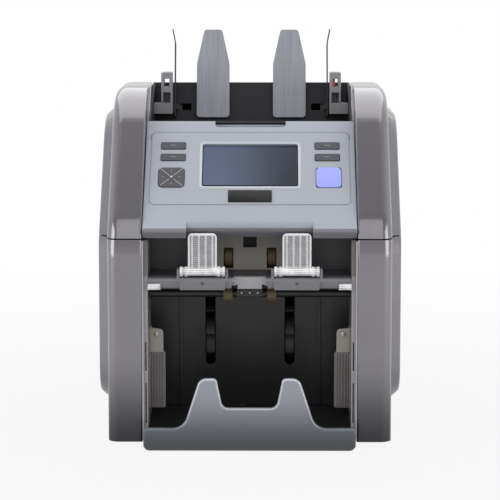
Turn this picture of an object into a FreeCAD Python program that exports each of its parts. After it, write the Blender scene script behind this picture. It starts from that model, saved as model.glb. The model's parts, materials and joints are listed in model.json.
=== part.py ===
import FreeCAD, Part
import math
import os

V = FreeCAD.Vector

# Axes: X across the machine, Y towards the back, Z up. The front faces -Y.
# Origin: on the table, under the middle of the machine. Millimetres and degrees.

# Overall body
BODY_FRONT = -131.0
BODY_REAR = 140.0
BODY_TOP = 331.0
BODY_BOTTOM = 6.5
PARTING_Z = 198.0
PARTING_GAP = 1.2
FAR = 2 * BODY_TOP
OVER = 1.0

# Side covers
COVER_INNER = 100.5
COVER_OUTER = 133.0
COVER_WALL = 2.5
COVER_EDGE_RADIUS = 11.0
COVER_LIP_RADIUS = 2.0
COVER_KNEE_Z = 204.0
COVER_KNEE_RADIUS = 60.0
COVER_BROW_Y = -20.0
COVER_BROW_RADIUS = 90.0
COVER_BACK_RADIUS = 60.0
EAR_OUTER = 142.5
EAR_BOTTOM_Z = 37.0
EAR_TOP_Z = 312.0
EAR_CORNER_RADIUS = 36.0
EAR_SLOPE = 9.0
EAR_EDGE_RADIUS = 5.0

# Sheet frames and the pieces between them
FRAME_SHEET = 1.5
FRAME_SETBACK = 1.0
FRAME_WINDOW_Y = 84.0
FRAME_WINDOW_Z = 140.0
FRAME_WINDOW_HALF = 17.0
FRAME_WINDOW_RADIUS = 8.0
FRAME_OUT = COVER_INNER
FRAME_IN = FRAME_OUT - FRAME_SHEET
LINER_WALL = 4.0
LINER_IN = FRAME_IN - LINER_WALL
SHEET = 2.0
MOULDED_WALL = 2.5
FIT_GAP = 0.4
SLOT_GAP = 0.8
RUN_GAP = 0.05

# Base pan and feet
PAN_LIP = 6.0
PAN_RIB_COUNT = 5
PAN_RIB_Y = -100.0
PAN_RIB_PITCH = 36.0
PAN_RIB_RADIUS = 3.0
PAN_RIB_HALF = 70.0
FOOT_RADIUS = 11.0
FOOT_FLARE = 1.5
FOOT_X = 84.0
FOOT_FRONT_Y = -104.0
FOOT_REAR_Y = 112.0

# Control panel, in its own slope: w runs up the face and n stands out of it
PANEL_SIDE_GAP = 0.7
PANEL_HALF = COVER_INNER - PANEL_SIDE_GAP
PANEL_EDGE_Y = -128.0
PANEL_EDGE_Z = 205.0
PANEL_TILT = 43.2
PANEL_LENGTH = 139.5
PANEL_DEPTH = 16.0
PANEL_WALL = 2.5
PANEL_LIP_SETBACK = 4.0
PANEL_EDGE_RADIUS = 2.0
RECESS_HALF = 59.2
RECESS_RISE = 5.0
RECESS_UNDERCUT = 14.5
RECESS_ROLL = 7.5
NOTCH_HALF = 34.0
NOTCH_DEPTH = 8.5
NOTCH_RADIUS = 3.0
NOTCH_SINK = 6.0
FIELD_INSET = 5.4
FIELD_LOW = 33.0
FIELD_HIGH = 123.0
FIELD_RADIUS = 5.0
FIELD_RISE = 0.5
SCREEN_HALF = 45.6
SCREEN_LOW = 55.5
SCREEN_HIGH = 109.0
SCREEN_RADIUS = 2.0
BEZEL_RIM = 2.6
BEZEL_DEPTH = 0.8
WINDOW_OVERLAP = 3.0
WINDOW_THICK = 2.0
KEY_GAP = 0.35
KEY_PROUD = 1.4
KEY_FLANGE = 1.2
KEY_FLANGE_THICK = 0.9
KEY_BEHIND = 0.3
KEY_RADIUS = 1.6
KEY_ROUND = 0.5
KEY_WIDTH = 24.0
KEY_TALL = 9.5
KEY_INSET = 26.3
KEY_UPPER_W = 106.0
KEY_LOWER_W = 91.3
PAD_SIZE = 25.0
PAD_INSET = 25.3
PAD_W = 66.0
PAD_RADIUS = 4.5
PAD_DISC_RADIUS = 2.4
PAD_CROSS_DEPTH = 0.4
PAD_CROSS_WIDTH = 0.8
START_WIDTH = 24.5
START_TALL = 25.5
BOARD_THICK = 1.6
BOARD_BEHIND = 6.0
BOARD_SIDE_GAP = 5.3
BOARD_LOW = 49.0
BOARD_HIGH = 118.0
BOARD_POST_RADIUS = 3.0
BOARD_POST_INSET = 37.0
SWITCH_SIZE = 6.0
KEY_TRAVEL = 1.0
SWITCH_CLEAR = 0.4

# Hopper
HOPPER_SIDE = 2.0
HOPPER_DROP = 4.0
HOPPER_FLOOR_Z = 270.0
HOPPER_WIDTH = 51.6
HOPPER_BACK_RISE = 6.0
HOPPER_LEAN = 15.0
HOPPER_BEND = 9.0
FINGER_X = 38.5
FINGER_BASE_HALF = 16.5
FINGER_TOP_HALF = 8.9
FINGER_TOP_Z = 384.0
FINGER_FOOT_Z = 296.0
FINGER_TAPER = 35.0
FINGER_THICK = 3.5
FINGER_RADIUS = 3.5
FINGER_SHOULDER_RADIUS = 14.0
FINGER_RIB = 2.0
FINGER_RIB_EASE = 0.16
GUIDE_X = 76.0
GUIDE_THICK = 1.2
GUIDE_DEPTH = 11.0
GUIDE_TOP_Z = 382.0
GUIDE_FLARE_TALL = 13.0
GUIDE_FLARE = 2.6
GUIDE_FLARE_RADIUS = 10.0
GUIDE_TRAVEL = 12.0
GUIDE_STEM = 6.0
GUIDE_SHOE = 3.0
GUIDE_STEM_Z = 304.0
BLOCK_INNER = 78.5
BLOCK_OUTER = 89.5
BLOCK_DEPTH = 18.0
BLOCK_BEFORE_WALL = 2.0
BLOCK_ABOVE_FLOOR = 26.0
BLOCK_TALL = 41.0
BLOCK_WINDOW_WIDTH = 5.2
BLOCK_WINDOW_TALL = 8.4
BLOCK_HOLE_WIDTH = 7.4
BLOCK_HOLE_TALL = 10.4
BLOCK_HOLE_DEPTH = 14.0
BLOCK_HOLE_BELOW = 14.5
BLOCK_INNER_RADIUS = 1.0
BLOCK_OUTER_RADIUS = 1.5

# Stacker front plate
PLATE_FRONT = -150.0
PLATE_HALF = FRAME_IN
PLATE_THICK = 5.0
PLATE_BOTTOM = 2.0
PLATE_SHOULDER_Z = 23.5
PLATE_CORNER_RADIUS = 6.0
PLATE_SHOULDER_RADIUS = 3.0
PLATE_EDGE_RADIUS = 2.6
HORN_TIP_Z = 70.5
HORN_TIP_INNER = 30.7
HORN_TIP_OUTER = 46.3
HORN_INNER_RADIUS = 4.0
HORN_OUTER_RADIUS = 9.0
HORN_FOOT_X = 61.6
HORN_SWEEP_RADIUS = 14.0
VALLEY_Z = 42.7
VALLEY_HALF = 25.0
VALLEY_RADIUS = 7.0
TRAY_WALL = 3.0
TRAY_RISE = 3.0

# Stacker and reject pockets
BED_FRONT_Z = 15.0
BED_REAR_Z = 26.0
BED_RIB_X = 44.0
BED_RIB_WIDTH = 5.0
BED_RIB_RISE = 2.0
STACK_WALL_FOOT_Y = -58.0
STACK_WALL_TOP_Y = -74.0
STACK_WALL_TOP_Z = 146.0
STACK_RIB = 1.5
STACK_RIB_X = 66.0
LINER_KNEE_Z = 150.0
LINER_LEAN = 9.0
LINER_KNEE_RADIUS = 10.0
LINER_RIBS = 4
LINER_RIB = 1.2
LINER_RIB_PITCH = 7.0
LINER_RIB_LOW = 36.0
LINER_SLOT_Y = -90.0
LINER_SLOT_TALL = 20.0
LINER_SLOT_PITCH = 26.0
EDGE_SLOT_WIDTH = 1.2
EDGE_SLOT_DEPTH = 5.0
EDGE_SLOTS = ((24.0, 62.0), (74.0, 101.0))
BAR_FRONT = -128.0
BAR_DEPTH = 15.0
BAR_BOTTOM = 150.5
BAR_TOP = 161.5
BAR_WALL = 2.0
BAR_LEAN = 1.5
BAR_BEND = 3.5
BAR_MIDDLE_HALF = 14.1
BAR_SET_BACK = 6.0
BAR_NOTCH_WIDTH = 5.5
BAR_NOTCH_TALL = 4.0
BAR_BOSS_PROUD = 1.5
BAR_BOSS_DROP = 2.5
BAR_BOSS_ROUND = 1.2
BAR_BOSS_HOLE = 2.6
LENS_WIDTH = 12.0
LENS_TALL = 6.0
LENS_PROUD = 3.0
LENS_RADIUS = 2.0
LENS_SEAT = 5.0
REJECT_FLOOR_Z = 163.0
REJECT_PANEL_Y = -80.5
REJECT_PANEL_HALF = 32.0
REJECT_WALL_Y = -77.0
REJECT_TOP_Z = 197.0
REJECT_SLOT_TOP = 184.0
REJECT_EYE_HALF = 6.4
REJECT_PANEL_RADIUS = 1.0
STOPPER_X = 44.0
STOPPER_HALF = 13.4
STOPPER_EAR_HALF = 21.0
STOPPER_TOP_Z = 203.0
STOPPER_THICK = 2.2
STOPPER_RIB = 1.6
STOPPER_RIB_COUNT = 4
STOPPER_RADIUS = 4.0
STOPPER_AXIS_Y = -123.0
STOPPER_AXIS_Z = 167.0
STOPPER_BARREL = 4.0
STOPPER_COLLAR = 5.0
STOPPER_COLLAR_WIDTH = 2.6
STOPPER_COLLAR_PITCH = 4.4
STOPPER_COLLARS = 2
STOPPER_PIN = 1.5
LUG_WIDTH = 2.5
LUG_RADIUS = 3.2
LUG_PIN = 5.0
GUARD_WIDTH = 13.0
GUARD_LOW_Z = 87.0
GUARD_HIGH_Z = 110.0
GUARD_Y = -101.0
GUARD_SHEET = 1.5
GUARD_SKIRT_WIDTH = 15.0
GUARD_SKIRT_Z = 33.0
GUARD_RIBS = 5
GUARD_RIB = 1.0
GUARD_RIB_INSET = 1.5
GUARD_FOOT_RADIUS = 2.0
GUARD_TOP_RADIUS = 4.0

# Drive: tooth counts, and the lines between centres as angles from +Y
MODULE = 2.5
PRESSURE_ANGLE = 20.0
ADDENDUM = 0.8
DEDENDUM = 1.1
BACKLASH = 0.5
GEAR_WIDTH = 5.0
GEAR_GAP = 4.0
STACKER_TEETH = 40
TRANSPORT_TEETH = 24
EXIT_TEETH = 16
REJECT_TEETH = 16
FEED_TEETH = 16
PICKUP_TEETH = 14
PINION_TEETH = 12
STACKER_Y = -40.0
STACKER_Z = 104.0
TRANSPORT_LINE = 48.0
EXIT_LINE = 146.0
REJECT_LINE = 50.0
PICKUP_RUN = 19.6
PICKUP_BELOW = 10.5
FEED_LINE = 245.0
PINION_LINE = -10.0
SHAFT_RADIUS = 4.0
BUSH_WALL = 2.0
BUSH_FLANGE = 1.5
BUSH_FLANGE_THICK = 1.5
SHAFT_OVERHANG = 2.0

# Rollers and wheels
ROLLER_NEAR_X = 20.5
ROLLER_FAR_X = 60.0
TRANSPORT_ROLLER_RADIUS = 12.0
TRANSPORT_ROLLER_WIDTH = 12.0
EXIT_ROLLER_RADIUS = 9.0
EXIT_ROLLER_WIDTH = 9.0
REJECT_ROLLER_RADIUS = 9.0
REJECT_ROLLER_WIDTH = 7.5
FEED_ROLLER_RADIUS = 15.0
FEED_ROLLER_WIDTH = 14.0
PICKUP_ROLLER_RADIUS = 14.5
PICKUP_ROLLER_WIDTH = 12.0
ROLLER_SHOULDER = 1.0
WHEEL_X = 38.0
WHEEL_WIDTH = 8.0
WHEEL_RADIUS = 36.0
WHEEL_HUB = 12.0
WHEEL_FINS = 10
WHEEL_FIN = 1.4
WHEEL_SWEEP = 42.0
WHEEL_BEND = 0.35

# Transport deck, sensor and gate
DECK_FRONT_Y = -42.0
DECK_REAR_Y = 92.0
DECK_BELOW_ROLLER = 1.2
DECK_FLANGE = 12.0
DECK_BEND = 6.0
SENSOR_Y = 46.0
SENSOR_WIDTH = 16.0
SENSOR_TALL = 11.0
SENSOR_HALF = 88.0
SENSOR_RIM = 2.0
SENSOR_EDGE = 1.0
GATE_Y = -52.0
GATE_Z = 159.0
GATE_SHAFT = 3.0
GATE_FINGER = 13.0
GATE_FINGER_WIDTH = 6.0
GATE_TIP = 0.8
GATE_PITCH = 26.0
GATE_COUNT = 6

# Motors, belt and boards
MOTOR_Y = 66.0
MOTOR_Z = 66.0
MOTOR_RADIUS = 24.0
MOTOR_LENGTH = 52.0
MOTOR_FLANGE = 4.0
MOTOR_SHAFT = 3.0
MOTOR_BOSS = 8.0
MOTOR_TAIL = 16.0
MOTOR_PULLEY = 12.0
TRANSPORT_PULLEY = 20.0
BELT_WIDTH = 6.0
BELT_THICK = 1.6
BELT_GAP = 0.35
PULLEY_FLANGE = 2.2
PULLEY_FLANGE_THICK = 1.2
PULLEY_GAP = 4.0
FEED_MOTOR_RADIUS = 15.0
FEED_MOTOR_LENGTH = 40.0
SUPPLY_LENGTH = 78.0
SUPPLY_DEPTH = 46.0
SUPPLY_TALL = 40.0
SUPPLY_X = -52.0
SUPPLY_Y = 98.0
SUPPLY_VENTS = 8
SUPPLY_VENT_HALF = 11.5
LOGIC_X = 40.0
LOGIC_Y = -5.0
LOGIC_WIDTH = 90.0
LOGIC_DEPTH = 70.0
LOGIC_POST = 8.0
LOGIC_INSET = 5.0
CHIP_SIZE = 18.0
CHIP_TALL = 2.5
HEADER_DEPTH = 6.0
HEADER_TALL = 7.5
TIE_RADIUS = 4.0
TIE_PLACES = ((118.0, 184.0), (118.0, 70.0), (-20.0, 32.0))

# Rear covers, hinge and sockets
HINGE_Y = 145.5
HINGE_Z = 199.0
HINGE_RADIUS = 4.5
HINGE_PIN = 2.0
HINGE_X = 70.0
HINGE_LENGTH = 12.0
HINGE_GAP = 0.4
HINGE_WEB = 16.0
HINGE_HEEL = 3.0
VENT_COUNT = 9
VENT_PITCH = 9.0
VENT_WIDTH = 3.0
VENT_TALL = 46.0
VENT_Z = 128.0
INLET_X = -62.0
INLET_Z = 40.0
INLET_WIDTH = 27.0
INLET_TALL = 20.0
INLET_DEPTH = 16.0
INLET_WALL = 2.0
INLET_RIM = 3.0
BLADE_WIDTH = 2.0
BLADE_TALL = 6.0
BLADE_SPACING = 7.0
BLADE_RISE = 2.0
BLADE_SINK = 7.0
PORT_X = 40.0
PORT_PITCH = 26.0
PORT_COUNT = 2
PORT_WIDTH = 16.0
PORT_TALL = 13.0
PORT_DEPTH = 14.0
PORT_WALL = 1.2
SWITCH_X = -26.0
ROCKER_WIDTH = 13.0
ROCKER_TALL = 19.0
ROCKER_TILT = 9.0
ROCKER_Y = 137.0
ROCKER_PIN = 1.2
ROCKER_PROUD = 3.0
ROCKER_ROUND = 1.0


def polar(y, z, distance, angle):
    """Point at a distance and angle (from +Y towards +Z) in a side view."""
    turn = math.radians(angle)
    return y + distance * math.cos(turn), z + distance * math.sin(turn)


def slope_point(w, n):
    """Side-view point (y, z) at a place on the panel's slope."""
    turn = math.radians(PANEL_TILT)
    y = PANEL_EDGE_Y + w * math.cos(turn) - n * math.sin(turn)
    z = PANEL_EDGE_Z + w * math.sin(turn) + n * math.cos(turn)
    return y, z


def mesh_distance(teeth_a, teeth_b):
    return MODULE * (teeth_a + teeth_b) / 2


KEY_X = PANEL_HALF - KEY_INSET
PAD_X = PANEL_HALF - PAD_INSET
BOARD_HALF = PANEL_HALF - PANEL_WALL - BOARD_SIDE_GAP
PANEL_TOP_Y, PANEL_TOP_Z = slope_point(PANEL_LENGTH, 0)
PANEL_BACK_Y, PANEL_BACK_Z = slope_point(PANEL_LENGTH, -PANEL_DEPTH)
HOPPER_MOUTH_Y, HOPPER_MOUTH_Z = slope_point(PANEL_LENGTH + FIT_GAP + MOULDED_WALL, -HOPPER_DROP)
HOPPER_FLOOR_Y = HOPPER_MOUTH_Y + (HOPPER_MOUTH_Z - HOPPER_FLOOR_Z) * math.tan(math.radians(PANEL_TILT))
HOPPER_BACK_Y = HOPPER_FLOOR_Y + HOPPER_WIDTH
BLOCK_REAR_Y = HOPPER_BACK_Y - BLOCK_BEFORE_WALL
BLOCK_FRONT_Y = BLOCK_REAR_Y - BLOCK_DEPTH
BLOCK_FOOT_Z = HOPPER_FLOOR_Z + HOPPER_BACK_RISE + BLOCK_ABOVE_FLOOR
BLOCK_TOP_Z = BLOCK_FOOT_Z + BLOCK_TALL
FINGER_SHOULDER_Z = FINGER_TOP_Z - FINGER_TAPER
GUIDE_FLARE_Z = GUIDE_TOP_Z - GUIDE_FLARE_TALL
PICKUP_Y = HOPPER_FLOOR_Y + PICKUP_RUN
PICKUP_Z = HOPPER_FLOOR_Z - PICKUP_BELOW
TRANSPORT_Y, TRANSPORT_Z = polar(
    STACKER_Y, STACKER_Z, mesh_distance(STACKER_TEETH, TRANSPORT_TEETH), TRANSPORT_LINE)
EXIT_Y, EXIT_Z = polar(STACKER_Y, STACKER_Z, mesh_distance(STACKER_TEETH, EXIT_TEETH), EXIT_LINE)
REJECT_Y, REJECT_Z = polar(EXIT_Y, EXIT_Z, mesh_distance(EXIT_TEETH, REJECT_TEETH), REJECT_LINE)
FEED_Y, FEED_Z = polar(PICKUP_Y, PICKUP_Z, mesh_distance(PICKUP_TEETH, FEED_TEETH), FEED_LINE)
PINION_Y, PINION_Z = polar(FEED_Y, FEED_Z, mesh_distance(FEED_TEETH, PINION_TEETH), PINION_LINE)
DECK_TOP = TRANSPORT_Z + TRANSPORT_ROLLER_RADIUS - DECK_BELOW_ROLLER
LOWER_TOP = PARTING_Z - PARTING_GAP / 2
UPPER_BOTTOM = PARTING_Z + PARTING_GAP / 2
PAN_TOP = BODY_BOTTOM + SHEET
LINER_LOW_Z = BODY_BOTTOM + PAN_LIP
LINER_TOP_Z = LOWER_TOP - FRAME_SETBACK
HUB_REACH = GEAR_GAP - BUSH_FLANGE_THICK - FIT_GAP
BELT_X = FRAME_OUT + PULLEY_GAP + PULLEY_FLANGE_THICK + BELT_GAP
PULLEY_END = BELT_X + BELT_WIDTH + BELT_GAP + PULLEY_FLANGE_THICK + SHAFT_OVERHANG


def rounded_wire(corners, place):
    """Closed wire through corners (a, b) or (a, b, radius), mapped into space by place."""
    bends = []
    for i, corner in enumerate(corners):
        here = V(corner[0], corner[1], 0)
        radius = corner[2] if len(corner) > 2 else 0
        last = corners[i - 1]
        following = corners[(i + 1) % len(corners)]
        back = (V(last[0], last[1], 0) - here).normalize()
        ahead = (V(following[0], following[1], 0) - here).normalize()
        half = back.getAngle(ahead) / 2
        if radius <= 0 or half > math.pi / 2 - 1e-4:
            bends.append((here, here, here))
            continue
        reach = radius / math.tan(half)
        middle = here + (back + ahead).normalize() * (radius / math.sin(half) - radius)
        bends.append((here + back * reach, middle, here + ahead * reach))
    edges = []
    for i, (start, middle, end) in enumerate(bends):
        if (end - start).Length > 1e-6:
            edges.append(Part.Arc(place(start), place(middle), place(end)).toShape())
        target = bends[(i + 1) % len(bends)][0]
        if (target - end).Length > 1e-6:
            edges.append(Part.LineSegment(place(end), place(target)).toShape())
    return Part.Wire(edges)


def prism_x(corners, x0, x1):
    """Side-view outline (y, z) carried from x0 to x1."""
    wire = rounded_wire(corners, lambda p: V(x0, p.x, p.y))
    return Part.Face(wire).extrude(V(x1 - x0, 0, 0))


def prism_y(corners, y0, y1):
    """Front-view outline (x, z) carried from y0 to y1."""
    wire = rounded_wire(corners, lambda p: V(p.x, y0, p.y))
    return Part.Face(wire).extrude(V(0, y1 - y0, 0))


def prism_z(corners, z0, z1):
    """Plan outline (x, y) carried from z0 to z1."""
    wire = rounded_wire(corners, lambda p: V(p.x, p.y, z0))
    return Part.Face(wire).extrude(V(0, 0, z1 - z0))


def block(x0, x1, y0, y1, z0, z1):
    return Part.makeBox(x1 - x0, y1 - y0, z1 - z0, V(x0, y0, z0))


def rod(y, z, radius, x0, x1):
    """Round bar along X."""
    return Part.makeCylinder(radius, x1 - x0, V(x0, y, z), V(1, 0, 0))


def peg(x, y, z, radius, length, axis):
    return Part.makeCylinder(radius, length, V(x, y, z), axis)


def rectangle(a, b, half_a, half_b, radius=0):
    """Corners of a rectangle about (a, b)."""
    return [(a - half_a, b - half_b, radius), (a + half_a, b - half_b, radius),
            (a + half_a, b + half_b, radius), (a - half_a, b + half_b, radius)]


def sheet_outline(path, thickness):
    """Outline of a bent sheet: path corners (a, b, radius), thickness added on the left side."""
    far = []
    for i, corner in enumerate(path):
        here = V(corner[0], corner[1], 0)
        steps = []
        if i > 0:
            steps.append((here - V(path[i - 1][0], path[i - 1][1], 0)).normalize())
        if i < len(path) - 1:
            steps.append((V(path[i + 1][0], path[i + 1][1], 0) - here).normalize())
        sides = [V(-step.y, step.x, 0) for step in steps]
        middle = (sides[0] + sides[-1]).normalize()
        point = here + middle * (thickness / middle.dot(sides[0]))
        radius = corner[2] if len(corner) > 2 else 0
        if radius > 0:
            turn = steps[0].x * steps[-1].y - steps[0].y * steps[-1].x
            radius = radius - thickness if turn > 0 else radius + thickness
        far.append((point.x, point.y, radius))
    return list(path) + far[::-1]


def fused(shapes):
    return shapes[0].multiFuse(shapes[1:]).removeSplitter() if len(shapes) > 1 else shapes[0]


def mirrored(shape):
    return shape.mirror(V(0, 0, 0), V(1, 0, 0))


def both_sides(shape):
    return [shape, mirrored(shape)]


def on_slope(shape):
    """Carry a shape drawn in the panel's own x, w, n axes to its tilted place."""
    placed = shape.copy()
    placed.rotate(V(0, 0, 0), V(1, 0, 0), PANEL_TILT)
    placed.translate(V(0, PANEL_EDGE_Y, PANEL_EDGE_Z))
    return placed


def save(name, shapes):
    """Write one node; a list becomes a group of separate solids."""
    shape = Part.makeCompound(shapes) if isinstance(shapes, list) else shapes
    if not shape.isValid():
        print("not valid:", name)
    shape.exportStep(os.path.join("parts", name + ".step"))
    print(name, len(shape.Solids), round(shape.Volume, 1))


def drawn_in(corners, inset):
    """Closed outline moved inwards; its corners run clockwise."""
    result = []
    for i, corner in enumerate(corners):
        here = V(corner[0], corner[1], 0)
        last = corners[i - 1]
        following = corners[(i + 1) % len(corners)]
        arrive = (here - V(last[0], last[1], 0)).normalize()
        leave = (V(following[0], following[1], 0) - here).normalize()
        inward = V(arrive.y, -arrive.x, 0) + V(leave.y, -leave.x, 0)
        inward.normalize()
        point = here + inward * (inset / inward.dot(V(arrive.y, -arrive.x, 0)))
        radius = corner[2] - inset if len(corner) > 2 else 0
        result.append((point.x, point.y, max(radius, 0)))
    return result


def body_profile(bottom, bottom_radius):
    """Side outline of the machine from a given bottom, clockwise from the lower front."""
    return [(BODY_FRONT, bottom, bottom_radius),
            (BODY_FRONT, COVER_KNEE_Z, COVER_KNEE_RADIUS),
            (COVER_BROW_Y, BODY_TOP, COVER_BROW_RADIUS),
            (BODY_REAR, BODY_TOP, COVER_BACK_RADIUS),
            (BODY_REAR, bottom, bottom_radius)]


def cover_body(inset):
    """Outer form of a right side cover, or with an inset the hollow inside it."""
    outer = COVER_OUTER - inset
    side = drawn_in(body_profile(BODY_BOTTOM, 0), inset)
    main = prism_x(side, COVER_INNER - inset, outer)
    floor = BODY_BOTTOM + inset
    rim = [edge for edge in main.Edges
           if all(abs(p.Point.x - outer) < 1e-6 for p in edge.Vertexes)
           and not all(abs(p.Point.z - floor) < 1e-6 for p in edge.Vertexes)]
    main = main.makeFillet(COVER_EDGE_RADIUS - inset, rim)
    lip = [edge for edge in main.Edges
           if all(abs(p.Point.x - COVER_INNER) < 1e-6 for p in edge.Vertexes)
           and not all(abs(p.Point.z - floor) < 1e-6 for p in edge.Vertexes)]
    if lip:
        main = main.makeFillet(COVER_LIP_RADIUS, lip)
    ear_inset = BODY_TOP - EAR_TOP_Z
    ear_side = body_profile(EAR_BOTTOM_Z - ear_inset, EAR_CORNER_RADIUS + ear_inset)
    foot = rounded_wire(drawn_in(ear_side, ear_inset + inset),
                        lambda p: V(outer - COVER_WALL / 2, p.x, p.y))
    crest_x = EAR_OUTER - inset
    crest = rounded_wire(drawn_in(ear_side, ear_inset + EAR_SLOPE + inset), lambda p: V(crest_x, p.x, p.y))
    ear = Part.makeLoft([foot, crest], True, True)
    ridge = [edge for edge in ear.Edges if all(abs(p.Point.x - crest_x) < 1e-6 for p in edge.Vertexes)]
    ear = ear.makeFillet(EAR_EDGE_RADIUS, ridge)
    return main.fuse(ear)


def side_covers():
    """Right upper and lower covers: one hollow form, parted by a narrow gap.
    Above the control panel the upper one is closed by a wall on its inner side."""
    solid = cover_body(0)
    shell = solid.cut(cover_body(COVER_WALL))
    below = block(0, FAR, -FAR, FAR, -FAR, LOWER_TOP)
    above = block(0, FAR, -FAR, FAR, UPPER_BOTTOM, FAR)
    over_panel = on_slope(block(COVER_INNER, COVER_INNER + COVER_WALL, -FAR, FAR, -PANEL_DEPTH, FAR))
    return shell.common(below), fused([shell, solid.common(over_panel)]).common(above)


def bush_hole(y, z):
    return rod(y, z, SHAFT_RADIUS + BUSH_WALL + RUN_GAP, FRAME_IN - OVER, FRAME_OUT + OVER)


def frame_blank():
    return prism_x(drawn_in(body_profile(BODY_BOTTOM, 0), FRAME_SETBACK), FRAME_IN, FRAME_OUT)


def lower_frame():
    """Lower side sheet with bush holes, a motor boss hole and lightening windows."""
    blank = frame_blank().common(block(0, FAR, -FAR, FAR, 0, LOWER_TOP - FRAME_SETBACK))
    holes = [bush_hole(TRANSPORT_Y, TRANSPORT_Z), bush_hole(STACKER_Y, STACKER_Z),
             bush_hole(EXIT_Y, EXIT_Z), bush_hole(REJECT_Y, REJECT_Z),
             rod(MOTOR_Y, MOTOR_Z, MOTOR_BOSS + FIT_GAP, FRAME_IN - OVER, FRAME_OUT + OVER),
             rod(GATE_Y, GATE_Z, GATE_SHAFT + RUN_GAP, FRAME_IN - OVER, FRAME_OUT + OVER)]
    windows = [rectangle(FRAME_WINDOW_Y, FRAME_WINDOW_Z, FRAME_WINDOW_HALF, FRAME_WINDOW_HALF / 2,
                         FRAME_WINDOW_RADIUS)]
    cuts = holes + [prism_x(w, FRAME_IN - OVER, FRAME_OUT + OVER) for w in windows]
    return blank.cut(cuts)


def upper_frame():
    """Upper side sheet, set back behind the control panel."""
    blank = frame_blank().common(block(0, FAR, -FAR, FAR, UPPER_BOTTOM + FRAME_SETBACK, FAR))
    panel_room = on_slope(block(0, FAR, -FAR, FAR, -PANEL_DEPTH, FAR))
    holes = [rod(y, z, SHAFT_RADIUS + RUN_GAP, FRAME_IN - OVER, FRAME_OUT + OVER)
             for y, z in ((FEED_Y, FEED_Z), (PICKUP_Y, PICKUP_Z))]
    holes.append(rod(PINION_Y, PINION_Z, MOTOR_BOSS + FIT_GAP, FRAME_IN - OVER, FRAME_OUT + OVER))
    return blank.cut([panel_room] + holes)


def base_pan():
    """Folded bottom sheet with a lip all round and stiffening ribs pressed across it."""
    front = BODY_FRONT + COVER_WALL
    rear = BODY_REAR - MOULDED_WALL
    outer = block(-FRAME_IN, FRAME_IN, front, rear, BODY_BOTTOM, BODY_BOTTOM + PAN_LIP)
    inner = block(-FRAME_IN + SHEET, FRAME_IN - SHEET, front + SHEET, rear - SHEET,
                  PAN_TOP, BODY_BOTTOM + PAN_LIP + OVER)
    pan = outer.cut(inner)
    ribs = []
    for i in range(PAN_RIB_COUNT):
        y = PAN_RIB_Y + i * PAN_RIB_PITCH
        ribs.append(rod(y, PAN_TOP - PAN_RIB_RADIUS / 2, PAN_RIB_RADIUS, -PAN_RIB_HALF, PAN_RIB_HALF))
    slab = block(-PAN_RIB_HALF, PAN_RIB_HALF, front, rear, PAN_TOP - SHEET / 2, PAN_TOP + PAN_RIB_RADIUS)
    return pan.fuse([rib.common(slab) for rib in ribs]).removeSplitter()


def feet():
    """Four rubber feet, flared towards the table."""
    made = []
    for x in (-FOOT_X, FOOT_X):
        for y in (FOOT_FRONT_Y, FOOT_REAR_Y):
            cone = Part.makeCone(FOOT_RADIUS, FOOT_RADIUS - FOOT_FLARE, BODY_BOTTOM, V(x, y, 0))
            made.append(cone)
    return made


def tie_bars():
    return [rod(y, z, TIE_RADIUS, -FRAME_IN, FRAME_IN) for y, z in TIE_PLACES]


def mirror_corners(right):
    """Close a right-hand run of corners with its mirror image."""
    left = [(-corner[0],) + tuple(corner[1:]) for corner in reversed(right)]
    return right + left


def stacker_front():
    """Horned front plate with a shallow tray folded back from its foot."""
    right = [(VALLEY_HALF, VALLEY_Z, VALLEY_RADIUS),
             (HORN_TIP_INNER, HORN_TIP_Z, HORN_INNER_RADIUS),
             (HORN_TIP_OUTER, HORN_TIP_Z, HORN_OUTER_RADIUS),
             (HORN_FOOT_X, PLATE_SHOULDER_Z, HORN_SWEEP_RADIUS),
             (PLATE_HALF, PLATE_SHOULDER_Z, PLATE_SHOULDER_RADIUS),
             (PLATE_HALF, PLATE_BOTTOM, PLATE_CORNER_RADIUS)]
    plate = prism_y(mirror_corners(right), PLATE_FRONT, PLATE_FRONT + PLATE_THICK)
    rim = [edge for edge in plate.Edges if all(abs(p.Point.y - PLATE_FRONT) < 1e-6 for p in edge.Vertexes)]
    plate = plate.makeFillet(PLATE_EDGE_RADIUS, rim)
    back = PLATE_FRONT + PLATE_THICK
    top = PLATE_SHOULDER_Z - PLATE_CORNER_RADIUS
    low = PLATE_BOTTOM + TRAY_RISE
    outer = block(-PLATE_HALF, PLATE_HALF, back, BODY_FRONT, low, top)
    inner = block(-PLATE_HALF + TRAY_WALL, PLATE_HALF - TRAY_WALL, back, BODY_FRONT, low + TRAY_WALL, top)
    tongue = block(-PAN_RIB_HALF, PAN_RIB_HALF, BODY_FRONT, BODY_FRONT + COVER_WALL + PLATE_THICK,
                   BODY_BOTTOM - SHEET, BODY_BOTTOM)
    return fused([plate, outer.cut(inner), tongue])


def stacker_bed():
    """Sloping floor of the stacker with two runner ribs, carried on a foot at the back."""
    front = PLATE_FRONT + PLATE_THICK
    rear = STACK_WALL_FOOT_Y
    path = [(front, BED_FRONT_Z), (rear, BED_REAR_Z)]
    floor = prism_x(sheet_outline(path, -MOULDED_WALL), -LINER_IN + FIT_GAP, LINER_IN - FIT_GAP)
    rise = sheet_outline(path, BED_RIB_RISE)
    ribs = [prism_x(rise, x - BED_RIB_WIDTH / 2, x + BED_RIB_WIDTH / 2) for x in (-BED_RIB_X, BED_RIB_X)]
    foot = block(-BED_RIB_X, BED_RIB_X, rear - MOULDED_WALL, rear, PAN_TOP, BED_REAR_Z - MOULDED_WALL / 2)
    front_trim = block(-FRAME_OUT, FRAME_OUT, front - BED_REAR_Z, front, 0, BED_REAR_Z)
    return fused([floor, foot] + ribs).cut(front_trim)


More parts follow.
